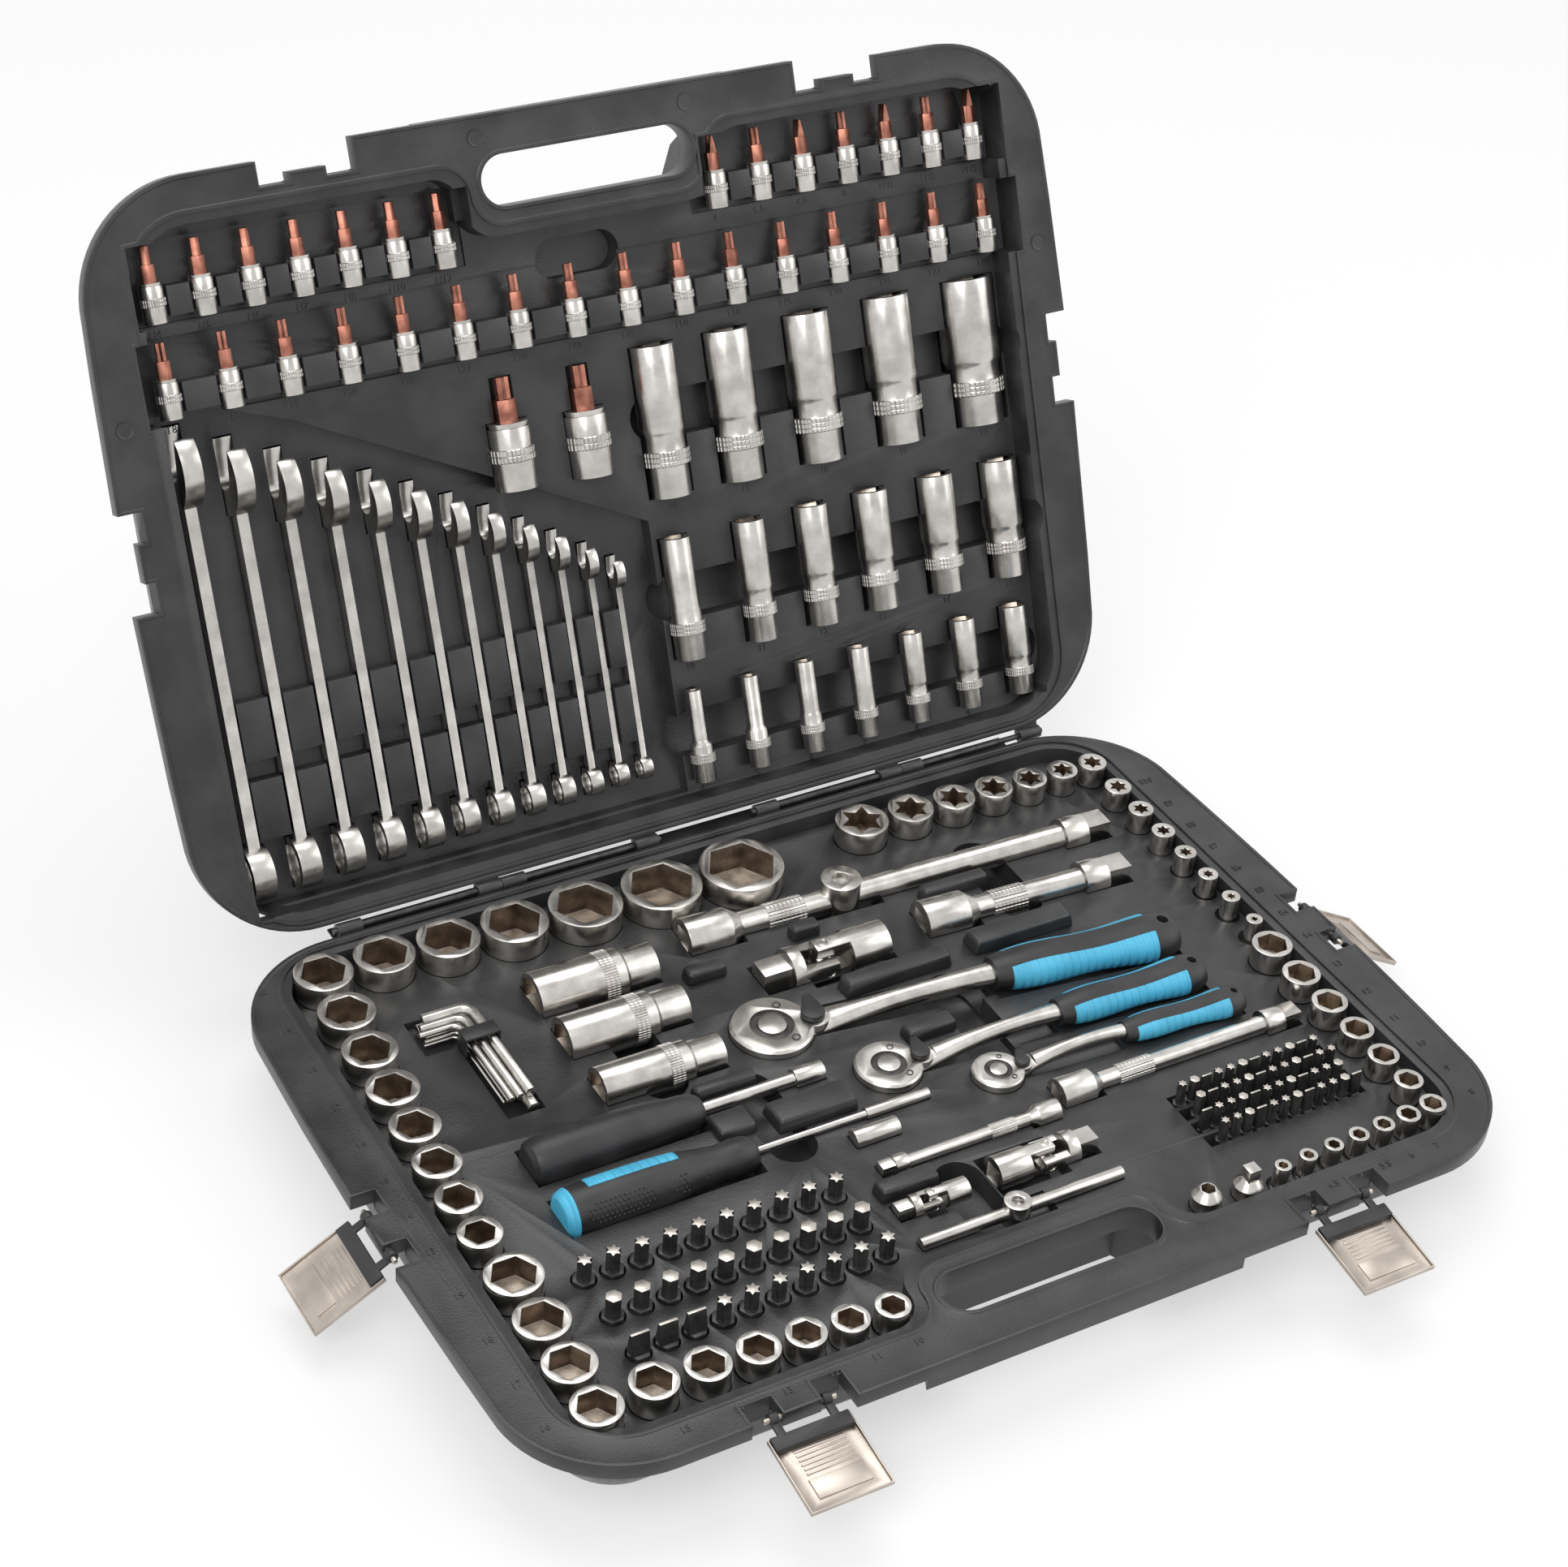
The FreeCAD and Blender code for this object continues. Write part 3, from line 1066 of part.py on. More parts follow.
def spanner(nut):
    jaw_r = size("jaw_rate") * nut / 2
    ring_r = size("ring_rate") * nut / 2
    half = size("shank_rate") * nut / 2
    gauge = size("spanner_gauge_rate") * nut + 1.5
    thin = gauge * 0.62
    span = size("span_base") + size("span_rate") * nut
    jaw = Part.makeCylinder(jaw_r, gauge, Vector(-gauge / 2, span, 0), Vector(1, 0, 0))
    mouth = box_between((-gauge, 0, -nut / 2), (gauge, 2 * jaw_r, nut / 2))
    mouth = mouth.fuse(Part.makeCylinder(nut / 2, 2 * gauge, Vector(-gauge, 0, 0), Vector(1, 0, 0)))
    mouth.rotate(Vector(), Vector(1, 0, 0), 15)
    mouth.translate(Vector(0, span + jaw_r * 0.12, 0))
    ring = Part.makeCylinder(ring_r, gauge * 1.2, Vector(-gauge * 0.6, 0, 0), Vector(1, 0, 0))
    shank = box_between((-thin / 2, 0, -half), (thin / 2, span, half))
    eye = Part.makeCylinder(nut * 0.53, 4 * gauge, Vector(-2 * gauge, 0, 0), Vector(1, 0, 0))
    body = jaw.fuse([ring, shank]).cut([mouth, eye])
    bed = [box_between((-gauge / 2 - CLEAR, span - jaw_r - CLEAR, -jaw_r - CLEAR),
                       (gauge / 2 + CLEAR, span + jaw_r + CLEAR, ABOVE)),
           box_between((-gauge * 0.6 - CLEAR, -ring_r - CLEAR, -ring_r - CLEAR),
                       (gauge * 0.6 + CLEAR, ring_r + CLEAR, ABOVE)),
           box_between((-thin / 2 - CLEAR, 0, -half - CLEAR), (thin / 2 + CLEAR, span, ABOVE))]
    return body.removeSplitter(), bed


spanners = []
NUTS = list(range(19, 7, -1))
for nut, (x, _) in zip(NUTS, row((-224, 0), (-9, 0), [float(nut) for nut in NUTS])):
    body, bed = spanner(nut)
    spot = Placement(Vector(x, size("ring_reach"), size("spanner_plane")), Rotation())
    piece = made("Spanner", body)
    piece.Placement = spot
    spanners.append(piece)
    for shape in bed:
        shape.Placement = spot
        lid_cuts.append(shape)
node("combination_spanners", spanners, LID)


def lid_zone(corners, floor):
    points = [Vector(x, reach, floor) for x, reach in corners]
    return prism_of(Part.makePolygon(points + points[:1]), ABOVE)


# lower floor under the spanners, with combs of blocks between their shanks
SPANNER_XS = [x for x, _ in row((-224, 0), (-9, 0), [float(nut) for nut in NUTS])]
zone = lid_zone([(-233, 15), (12, 15), (12, 160), (-168, 249), (-205, 262), (-233, 262)],
                size("spanner_floor"))
lid_trenches.append(zone)
lid_cuts.append(zone)
for number in range(int(size("comb_rows"))):
    reach = size("comb_reach") - 40 * number
    for (left, right), nut in zip(zip(SPANNER_XS, SPANNER_XS[1:]), NUTS):
        thin = (size("spanner_gauge_rate") * nut + 1.5) * 0.31 + size("comb_gap")
        block = box_between((left + thin, reach - size("comb_width") / 2, size("spanner_floor") - 1),
                            (right - thin, reach + size("comb_width") / 2, LID_TRAY))
        lid_blocks.append(block)
for left, right, reach in ((10, 236, 212), (8, 238, 117), (6, 234, 45)):
    lid_cuts.append(stadium(right - left, size("pit_width"), ((left + right) / 2, reach), 1,
                            size("lid_pit_floor"), ABOVE))
lid_cuts.append(stadium(46, 20, (-5.5, 300), 1, size("lid_pit_floor"), ABOVE))


def base_pit(x, near, far):
    # finger pit across the tools from one reach to another
    pit = stadium(far - near, size("pit_width"), (0, 0), 1, size("base_pit_floor"), ABOVE)
    pit.Placement = Placement(Vector(x, -(near + far) / 2, 0), Rotation(UP, 90))
    base_cuts.append(pit)


for x, near, far in ((-96, 58, 168), (-62, 166, 232), (134, 58, 124), (64, 144, 212), (-4, 262, 312)):
    base_pit(x, near, far)

made("base_half", case_half(-1, base_cuts, []), BASE)
made("lid_half", case_half(1, lid_cuts, lid_blocks), LID)

doc.recompute()
for piece in doc.Objects:
    if "Invalid" in piece.State or "Error" in piece.State:
        raise RuntimeError("failed feature " + piece.Name)
for piece in NODES:
    if piece.Shape.isNull() or not piece.Shape.isValid():
        raise RuntimeError("bad shape " + piece.Label)
    piece.Shape.exportStep(os.path.join("parts", piece.Label + ".step"))
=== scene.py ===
import json
import math
import bpy
from mathutils import Matrix, Vector


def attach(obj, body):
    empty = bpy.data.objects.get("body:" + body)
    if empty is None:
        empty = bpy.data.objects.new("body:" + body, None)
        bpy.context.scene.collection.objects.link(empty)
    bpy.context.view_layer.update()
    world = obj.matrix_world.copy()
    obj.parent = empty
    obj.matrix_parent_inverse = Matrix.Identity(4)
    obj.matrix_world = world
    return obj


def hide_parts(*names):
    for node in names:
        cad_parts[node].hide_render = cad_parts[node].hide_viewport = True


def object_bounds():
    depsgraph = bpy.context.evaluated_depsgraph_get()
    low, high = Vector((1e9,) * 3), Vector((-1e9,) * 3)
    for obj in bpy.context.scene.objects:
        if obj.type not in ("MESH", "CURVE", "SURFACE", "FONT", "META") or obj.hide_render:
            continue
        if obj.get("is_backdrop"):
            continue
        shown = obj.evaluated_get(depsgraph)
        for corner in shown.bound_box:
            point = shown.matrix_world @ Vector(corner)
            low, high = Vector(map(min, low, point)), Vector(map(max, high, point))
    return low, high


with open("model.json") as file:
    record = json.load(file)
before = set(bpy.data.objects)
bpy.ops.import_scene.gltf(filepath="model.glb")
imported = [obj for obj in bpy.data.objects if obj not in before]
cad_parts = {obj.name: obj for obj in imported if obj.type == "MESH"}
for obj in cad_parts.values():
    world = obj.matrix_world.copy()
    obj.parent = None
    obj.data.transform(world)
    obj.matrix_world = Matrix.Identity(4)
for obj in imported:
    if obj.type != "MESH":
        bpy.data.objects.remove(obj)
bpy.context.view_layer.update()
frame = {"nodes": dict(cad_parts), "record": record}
nodes = frame["nodes"]
record = frame["record"]
bodyOf = {node: body for body, members in record["behaviour"]["bodies"].items() for node in members}
slotOf = {row["node"]: row["material_slot"] for row in record["subparts"]}
bpy.ops.object.select_all(action="DESELECT")
print("frame loaded, nodes:", len(nodes))

# each half is worked in its own frame on the hinge axis, in metres: x along the axis, z out of the tray,
# with the tools at minus y in the base and at plus y in the lid
hinge = {"y": 0.188, "z": 0.046, "lean": math.radians(66.8)}  # lid axis, and the lid's lean from level
baseSpot = Matrix.Translation((0, hinge["y"], hinge["z"]))
lidSpot = baseSpot @ Matrix.Rotation(hinge["lean"], 4, "X")
rim = -0.0002  # rim plane of either half
toolLine = -0.0095  # axis of the tools that lie in the base
right = Vector((1, 0, 0))
away = Vector((0, 1, 0))

# colours run between dark and light over a soft noise, grain is a fine bump
finishes = {
    "casePlastic": {"dark": (0.017, 0.0175, 0.0185), "light": (0.034, 0.0345, 0.036), "metal": 0.0,
                    "rough": (0.27, 0.44), "cloud": 40, "grain": 900, "bump": 0.35},
    "nickel": {"dark": (0.47, 0.45, 0.425), "light": (0.62, 0.60, 0.57), "metal": 1.0,
               "rough": (0.20, 0.31), "cloud": 90, "grain": 2400, "bump": 0.03},
    # painted shade: a darker, browner metal laid on the inner walls and floors of the bores
    "paintedBoreShade": {"dark": (0.26, 0.22, 0.18), "light": (0.46, 0.40, 0.34), "metal": 1.0,
             "rough": (0.2, 0.32), "cloud": 120, "grain": 2000, "bump": 0.05},
    "bareTip": {"dark": (0.42, 0.39, 0.35), "light": (0.60, 0.57, 0.52), "metal": 0.9,
                "rough": (0.3, 0.42), "cloud": 200, "grain": 2400, "bump": 0.05},
    "blackSteel": {"dark": (0.035, 0.034, 0.034), "light": (0.07, 0.068, 0.066), "metal": 0.6,
                   "rough": (0.3, 0.42), "cloud": 160, "grain": 2600, "bump": 0.05},
    "copperSteel": {"dark": (0.22, 0.085, 0.06), "light": (0.40, 0.17, 0.12), "metal": 0.9,
                    "rough": (0.28, 0.4), "cloud": 150, "grain": 2600, "bump": 0.04},
    "latchSteel": {"dark": (0.40, 0.355, 0.31), "light": (0.52, 0.465, 0.41), "metal": 1.0,
                   "rough": (0.30, 0.40), "cloud": 70, "grain": 2200, "bump": 0.04},
    "blackGrip": {"dark": (0.012, 0.012, 0.013), "light": (0.024, 0.024, 0.026), "metal": 0.0,
                  "rough": (0.36, 0.5), "cloud": 60, "grain": 1800, "bump": 0.12},
    "blueGrip": {"dark": (0.065, 0.42, 0.65), "light": (0.09, 0.52, 0.77), "metal": 0.0,
                 "rough": (0.4, 0.55), "cloud": 60, "grain": 1800, "bump": 0.12, "ribs": 70},
}
paintSteps = {"darkAt": 0.35, "lightAt": 0.65, "detail": 3, "grainDepth": 0.0004, "ribBump": 0.7,
              "ribDepth": 0.0012}
finishOfSlot = {"case": "casePlastic", "latch_steel": "latchSteel", "black_plastic": "blackGrip",
                "blue_rubber": "blueGrip", "black_steel": "blackSteel", "copper_steel": "copperSteel",
                "wire_steel": "latchSteel", "nickel": "nickel"}
paints = {}


def addNode(tree, kind, values):
    node = tree.nodes.new("ShaderNode" + kind)
    for socket, value in values.items():
        node.inputs[socket].default_value = value
    return node


def paintFor(name):
    if name in paints:
        return paints[name]
    look = finishes[name]
    paint = bpy.data.materials.new(name)
    paint.use_nodes = True
    tree = paint.node_tree
    shader = tree.nodes["Principled BSDF"]
    shader.inputs["Metallic"].default_value = look["metal"]
    coords = tree.nodes.new("ShaderNodeTexCoord")
    cloud = addNode(tree, "TexNoise", {"Scale": look["cloud"], "Detail": paintSteps["detail"]})
    tree.links.new(coords.outputs["Object"], cloud.inputs["Vector"])
    ramp = tree.nodes.new("ShaderNodeValToRGB")
    for element, place, shade in zip(ramp.color_ramp.elements, ("darkAt", "lightAt"), ("dark", "light")):
        element.position = paintSteps[place]
        element.color = (*look[shade], 1)
    tree.links.new(cloud.outputs["Fac"], ramp.inputs["Fac"])
    tree.links.new(ramp.outputs["Color"], shader.inputs["Base Color"])
    gloss = addNode(tree, "MapRange", {"To Min": look["rough"][0], "To Max": look["rough"][1]})
    tree.links.new(cloud.outputs["Fac"], gloss.inputs["Value"])
    tree.links.new(gloss.outputs["Result"], shader.inputs["Roughness"])
    grain = addNode(tree, "TexNoise", {"Scale": look["grain"]})
    tree.links.new(coords.outputs["Object"], grain.inputs["Vector"])
    bump = addNode(tree, "Bump", {"Strength": look["bump"], "Distance": paintSteps["grainDepth"]})
    tree.links.new(grain.outputs["Fac"], bump.inputs["Height"])
    if "ribs" in look:  # moulded ribs across the grip
        ribs = addNode(tree, "TexWave", {"Scale": look["ribs"]})
        ribs.bands_direction = "X"
        tree.links.new(coords.outputs["Object"], ribs.inputs["Vector"])
        ribBump = addNode(tree, "Bump", {"Strength": paintSteps["ribBump"],
                                         "Distance": paintSteps["ribDepth"]})
        tree.links.new(ribs.outputs["Fac"], ribBump.inputs["Height"])
        tree.links.new(ribBump.outputs["Normal"], bump.inputs["Normal"])
    tree.links.new(bump.outputs["Normal"], shader.inputs["Normal"])
    paints[name] = paint
    return paint


def selectOnly(pieces):
    bpy.ops.object.select_all(action="DESELECT")
    for piece in pieces:
        piece.select_set(True)
    bpy.context.view_layer.objects.active = pieces[0]


def joined(pieces):
    selectOnly(pieces)
    bpy.ops.object.join()
    return bpy.context.object


merging = {"weld": 0.000008, "flat": math.radians(1)}
smoothing = math.radians(35)  # faces that meet at less than this are shaded smooth


def mergedCopy(node):
    piece = nodes[node].copy()
    piece.data = nodes[node].data.copy()
    piece.name = node + "_shown"
    for key in list(piece.keys()):  # the copy drops the marks of its CAD node
        del piece[key]
    piece.parent = None
    bpy.context.collection.objects.link(piece)
    piece.hide_render = False
    selectOnly([piece])
    bpy.ops.object.mode_set(mode="EDIT")
    bpy.ops.mesh.select_all(action="SELECT")
    bpy.ops.mesh.remove_doubles(threshold=merging["weld"])
    bpy.ops.mesh.customdata_custom_splitnormals_clear()
    bpy.ops.mesh.dissolve_limited(angle_limit=merging["flat"])
    bpy.ops.object.mode_set(mode="OBJECT")
    return piece


def softenEdges(piece, width, steps=2, limit=32):
    bevel = piece.modifiers.new("edges", "BEVEL")
    bevel.width = width
    bevel.segments = steps
    bevel.limit_method = "ANGLE"
    bevel.angle_limit = math.radians(limit)
    bevel.use_clamp_overlap = True
    bpy.ops.object.modifier_apply(modifier=bevel.name)
    bpy.ops.object.shade_smooth_by_angle(angle=smoothing)


def pickFaces(piece, keep):
    # leaves the piece in edit mode, with the kept faces selected
    bpy.ops.object.mode_set(mode="EDIT")
    bpy.ops.mesh.select_mode(type="FACE")
    bpy.ops.mesh.select_all(action="DESELECT")
    bpy.ops.object.mode_set(mode="OBJECT")
    for face in piece.data.polygons:
        face.select = keep(face)
    bpy.ops.object.mode_set(mode="EDIT")


def facesUp(face):
    return face.normal.z > 0.9


def boxBetween(low, high):
    bpy.ops.mesh.primitive_cube_add(size=1, location=(Vector(low) + Vector(high)) / 2)
    box = bpy.context.object
    box.scale = Vector(high) - Vector(low)
    bpy.ops.object.transform_apply(location=True, scale=True)
    return box


def turnOut():
    bpy.ops.object.mode_set(mode="EDIT")
    bpy.ops.mesh.select_all(action="SELECT")
    bpy.ops.mesh.normals_make_consistent(inside=False)
    bpy.ops.object.mode_set(mode="OBJECT")


def islandsOf(piece):
    mesh = piece.data
    owner = list(range(len(mesh.vertices)))

    def root(index):
        while owner[index] != index:
            owner[index] = owner[owner[index]]
            index = owner[index]
        return index

    for edge in mesh.edges:
        owner[root(edge.vertices[0])] = root(edge.vertices[1])
    groups = {}
    for vertex in mesh.vertices:
        groups.setdefault(root(vertex.index), []).append(vertex.index)
    return groups, root


def boxOf(points):
    low = Vector([min(p[i] for p in points) for i in range(3)])
    high = Vector([max(p[i] for p in points) for i in range(3)])
    return low, high


toolBoxes = {}  # boxes of each tool of a node, in the frame of its half
boreTest = {"facing": 0.25, "slant": 0.5, "flat": 0.9, "depth": 0.002, "share": 0.3}


def paintBoreShade(piece, node, spot, axis):
    # walls that face the tool's own axis, and floors below its mouth, are painted darker: painted shade
    # inside the bore
    toLocal = spot.inverted()
    turnLocal = toLocal.to_3x3()
    groups, root = islandsOf(piece)
    boxes = {}
    for key, members in groups.items():
        boxes[key] = boxOf([toLocal @ piece.data.vertices[i].co for i in members])
    toolBoxes[node] = list(boxes.values())
    # the faces inside the bore get this painted shade
    piece.data.materials.append(paintFor("paintedBoreShade"))
    for face in piece.data.polygons:
        low, high = boxes[root(face.vertices[0])]
        outward = toLocal @ face.center - (low + high) / 2
        normal = turnLocal @ face.normal
        depth = (high - low)[axis] / 2 - abs(outward[axis])
        outward[axis] = 0
        steep = abs(normal[axis])
        width = (high - low)[(axis + 1) % 3]
        wall = normal.dot(outward) < -boreTest["facing"] * outward.length and steep < boreTest["slant"]
        sunk = depth > boreTest["depth"] and outward.length < boreTest["share"] * width
        if wall or (steep > boreTest["flat"] and sunk):
            face.material_index = 1


tipReach = {"large_bits": 0.0012, "small_bits": 0.0008}
tipFacing = 0.6


def bareTips(piece, reach):
    # the ground end of each bit, within reach of its top
    groups, root = islandsOf(piece)
    tops = {key: max(piece.data.vertices[i].co.z for i in members) for key, members in groups.items()}
    piece.data.materials.append(paintFor("bareTip"))
    for face in piece.data.polygons:
        if face.normal.z > tipFacing and tops[root(face.vertices[0])] - face.center.z < reach:
            face.material_index = 1


rimStep = {"border": 0.0018, "slope": 0.0005, "drop": 0.0005, "level": 0.99, "within": 0.0001}
rimSpots = {"base_half": baseSpot, "lid_half": lidSpot}


def stepRim(piece, spot):
    # the rim's middle sits a little lower than its two edges
    toLocal = spot.inverted()
    turnLocal = toLocal.to_3x3()
    pickFaces(piece, lambda face: (turnLocal @ face.normal).z > rimStep["level"]
              and abs((toLocal @ face.center).z - rim) < rimStep["within"])
    bpy.ops.mesh.quads_convert_to_tris(quad_method="BEAUTY", ngon_method="BEAUTY")
    bpy.ops.mesh.inset(thickness=rimStep["border"], use_even_offset=False)
    bpy.ops.mesh.inset(thickness=rimStep["slope"], use_even_offset=False)
    bpy.ops.transform.translate(value=spot.to_3x3() @ Vector((0, 0, -rimStep["drop"])))
    bpy.ops.object.mode_set(mode="OBJECT")


# edge width of each shown copy of a solid
plainEdge = 0.0005
edges = {"base_half": 0.0014, "lid_half": 0.0014, "half_inch_sockets": 0.0007,
         "three_eighth_sockets": 0.0006, "deep_sockets": 0.0007, "combination_spanners": 0.0010,
         "spark_plug_sockets": 0.0009, "large_bits": 0.0003, "small_bits": 0.0002, "bit_tips": 0.0002}
# frame and bore axis of each hollow tool
bores = {"half_inch_sockets": (baseSpot, 2), "three_eighth_sockets": (baseSpot, 2),
         "quarter_inch_sockets": (baseSpot, 2), "star_sockets": (baseSpot, 2),
         "drive_adapters": (baseSpot, 2), "spark_plug_sockets": (baseSpot, 0),
         "deep_sockets": (lidSpot, 1), "bit_sleeves": (lidSpot, 1)}
ownFinish = {"half_ratchet_drive": "blackSteel", "three_ratchet_drive": "blackSteel",
             "quarter_ratchet_drive": "blackSteel"}
remade = {"driver_handles", "driver_inlay"}  # modelled anew below
for node in sorted(set(nodes) - remade):
    shown = mergedCopy(node)
    if node in rimSpots:
        stepRim(shown, rimSpots[node])
    softenEdges(shown, edges.get(node, plainEdge))
    shown.data.materials.clear()
    shown.data.materials.append(paintFor(ownFinish.get(node, finishOfSlot[slotOf[node]])))
    # painted shade inside the bores of the hollow tools
    if node in bores:
        paintBoreShade(shown, node, *bores[node])
    if node in tipReach:
        bareTips(shown, tipReach[node])
    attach(shown, bodyOf[node])
    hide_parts(node)
print("solids dressed")


def settle(piece, name, finish, body, place):
    piece.name = name
    piece.data.materials.clear()
    piece.data.materials.append(paintFor(finish))
    piece.data.transform(place @ piece.matrix_basis)
    piece.matrix_basis = Matrix.Identity(4)
    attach(piece, body)
    return piece


# turned handles, drawn ring by ring: reach along the shaft and radius of each ring
drivers = {
    "spinner": {"spot": (-0.1805, -0.182, toolLine),
                "profile": [(0, 0.0085), (0.002, 0.0112), (0.006, 0.0124), (0.016, 0.0129), (0.045, 0.0127),
                            (0.062, 0.0118), (0.074, 0.0102), (0.081, 0.0098), (0.087, 0.0086),
                            (0.090, 0.0068)]},
    "driver": {"spot": (-0.1815, -0.2178, toolLine),
               "profile": [(0, 0.0088), (0.0015, 0.0108), (0.005, 0.0121), (0.014, 0.0129), (0.030, 0.0129),
                           (0.046, 0.0126), (0.060, 0.0118), (0.073, 0.0098), (0.081, 0.0088),
                           (0.089, 0.0094), (0.095, 0.0091), (0.100, 0.0070)]}}
handleLook = {"sides": 40, "edge": 0.0006, "limit": 50}


def turnedHandle(look):
    x0, y0, z0 = look["spot"]
    reach, radius = look["profile"][0]
    bpy.ops.mesh.primitive_circle_add(vertices=handleLook["sides"], radius=radius, fill_type="NGON",
                                      location=look["spot"], rotation=(0, math.pi / 2, 0))
    handle = bpy.context.object
    bpy.ops.object.transform_apply(location=True, rotation=True)
    bpy.ops.object.mode_set(mode="EDIT")
    bpy.ops.mesh.select_all(action="SELECT")
    for far, wide in look["profile"][1:]:
        bpy.ops.mesh.extrude_region_move(TRANSFORM_OT_translate={"value": (far - reach, 0, 0)})
        grow = wide / radius
        bpy.ops.transform.resize(value=(1, grow, grow), center_override=(x0 + far, y0, z0))
        reach, radius = far, wide
    bpy.ops.object.mode_set(mode="OBJECT")
    turnOut()
    return handle


handles = {name: turnedHandle(look) for name, look in drivers.items()}
x0, y0, z0 = drivers["driver"]["spot"]

# blue inlay: a stripe along the driver handle, and its end cap
inlayLook = {"start": 0.012, "end": 0.062, "spread": 0.32, "lean": 0.25, "raise": 0.0004, "cap": 0.004,
             "edge": 0.0003}


def onInlay(face):
    along = face.center.x - x0
    up = Vector((0, face.center.y - y0, face.center.z - z0)).normalized()
    lean = Vector((0, math.sin(inlayLook["lean"]), math.cos(inlayLook["lean"])))
    stripe = inlayLook["start"] < along < inlayLook["end"] and up.angle(lean) < inlayLook["spread"]
    return stripe or along < inlayLook["cap"]


selectOnly([handles["driver"]])
pickFaces(handles["driver"], onInlay)
bpy.ops.mesh.duplicate()
bpy.ops.mesh.separate(type="SELECTED")
bpy.ops.object.mode_set(mode="OBJECT")
inlay = [piece for piece in bpy.context.selected_objects if piece != handles["driver"]][0]
selectOnly([inlay])
thick = inlay.modifiers.new("raised", "SOLIDIFY")
thick.thickness = 2 * inlayLook["raise"]
thick.offset = 0
bpy.ops.object.modifier_apply(modifier=thick.name)
softenEdges(inlay, inlayLook["edge"])
settle(inlay, "driver_inlay_shown", "blueGrip", "base", baseSpot)
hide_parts("driver_inlay")

# rubber studs in two oval panels on the side of the driver handle: middle and half length of each panel
studs = {"radius": 0.00075, "pitch": 0.0024, "panels": [(0.026, 0.017), (0.062, 0.010)], "halfWidth": 0.0062,
         "turn": 1.05, "rows": 5, "rowGap": 0.9, "halfCount": 9, "gripRadius": 0.0125}
studPieces = []
for middle, halfLength in studs["panels"]:
    for line in range(studs["rows"]):
        row = (line - studs["rows"] // 2) * studs["pitch"] * studs["rowGap"]
        turn = studs["turn"] + row / studs["gripRadius"]
        for number in range(-studs["halfCount"], studs["halfCount"] + 1):
            x = number * studs["pitch"] + (line % 2) * studs["pitch"] / 2
            if (x / halfLength) ** 2 + (row / studs["halfWidth"]) ** 2 > 1:
                continue
            along = middle + x
            reach = [ring[1] for ring in drivers["driver"]["profile"] if ring[0] >= along][0]
            spot = (x0 + along, y0 - reach * math.sin(turn), z0 + reach * math.cos(turn))
            bpy.ops.mesh.primitive_ico_sphere_add(subdivisions=1, radius=studs["radius"], location=spot)
            studPieces.append(bpy.context.object)
gripStuds = joined(studPieces)
bpy.ops.object.transform_apply(location=True)
settle(gripStuds, "driver_grip_studs", "blackGrip", "base", baseSpot)

shownHandles = joined(list(handles.values()))
softenEdges(shownHandles, handleLook["edge"], limit=handleLook["limit"])
settle(shownHandles, "driver_handles_shown", "blackGrip", "base", baseSpot)
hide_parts("driver_handles")
print("driver handles turned")


# knurled bands: a ring of small raised pads round a tool
padLook = {"border": 0.22, "height": 0.2}  # shares of a pad's width


def knurl(start, along, length, radius, count, rows):
    start = Vector(start)
    turn = Vector((0, 0, 1)).rotation_difference(along).to_euler()
    bpy.ops.mesh.primitive_cylinder_add(vertices=count, radius=radius, depth=length, end_fill_type="NGON",
                                        location=start + along * length / 2, rotation=turn)
    band = bpy.context.object
    bpy.ops.object.transform_apply(location=True, rotation=True)
    for cut in range(1, rows):
        bpy.ops.object.mode_set(mode="EDIT")
        bpy.ops.mesh.select_all(action="SELECT")
        bpy.ops.mesh.bisect(plane_co=start + along * length * cut / rows, plane_no=along)
        bpy.ops.object.mode_set(mode="OBJECT")
    pickFaces(band, lambda face: abs(face.normal.dot(along)) < 0.5)
    pad = 2 * math.pi * radius / count
    bpy.ops.mesh.inset(thickness=pad * padLook["border"], depth=pad * padLook["height"], use_individual=True)
    bpy.ops.object.mode_set(mode="OBJECT")
    return band


def knurlSet(name, body, place, bands):
    settle(joined([knurl(*band) for band in bands]), name, "nickel", body, place)


# bands on the spark-plug sockets: x, y, length, radius, pads round
sparkBands = [(-0.0925, -0.0772, 0.0075, 0.01368, 60), (-0.0930, -0.1115, 0.0070, 0.01268, 56),
              (-0.0930, -0.1490, 0.0070, 0.01118, 52)]
sparkRows = 3
knurlSet("spark_plug_knurls", "base", baseSpot, [((x, y, toolLine), right, length, radius, count, sparkRows)
                                                 for x, y, length, radius, count in sparkBands])

# bands on the bars: the bar's two ends, the way from the first end, length and radius
bars = {"long_bar_knurl": ((-0.0391, -0.0681), (0.2087, -0.0762), 0.046, 0.0215, 0.00698),
        "short_bar_knurl": ((0.0775, -0.1066), (0.1979, -0.1126), 0.040, 0.020, 0.00698),
        "three_bar_knurl": ((0.0685, -0.2462), (0.2105, -0.2462), 0.034, 0.020, 0.00498),
        "quarter_bar_knurl": ((0.0629, -0.2539), (-0.0345, -0.2539), 0.024, 0.014, 0.00348)}
barPads = {"count": 24, "rows": 9}
for name, (start, end, ahead, length, radius) in bars.items():
    along = Vector((end[0] - start[0], end[1] - start[1], 0)).normalized()
    first = Vector((*start, toolLine)) + along * ahead
    knurlSet(name, "base", baseSpot, [(first, along, length, radius, barPads["count"], barPads["rows"])])

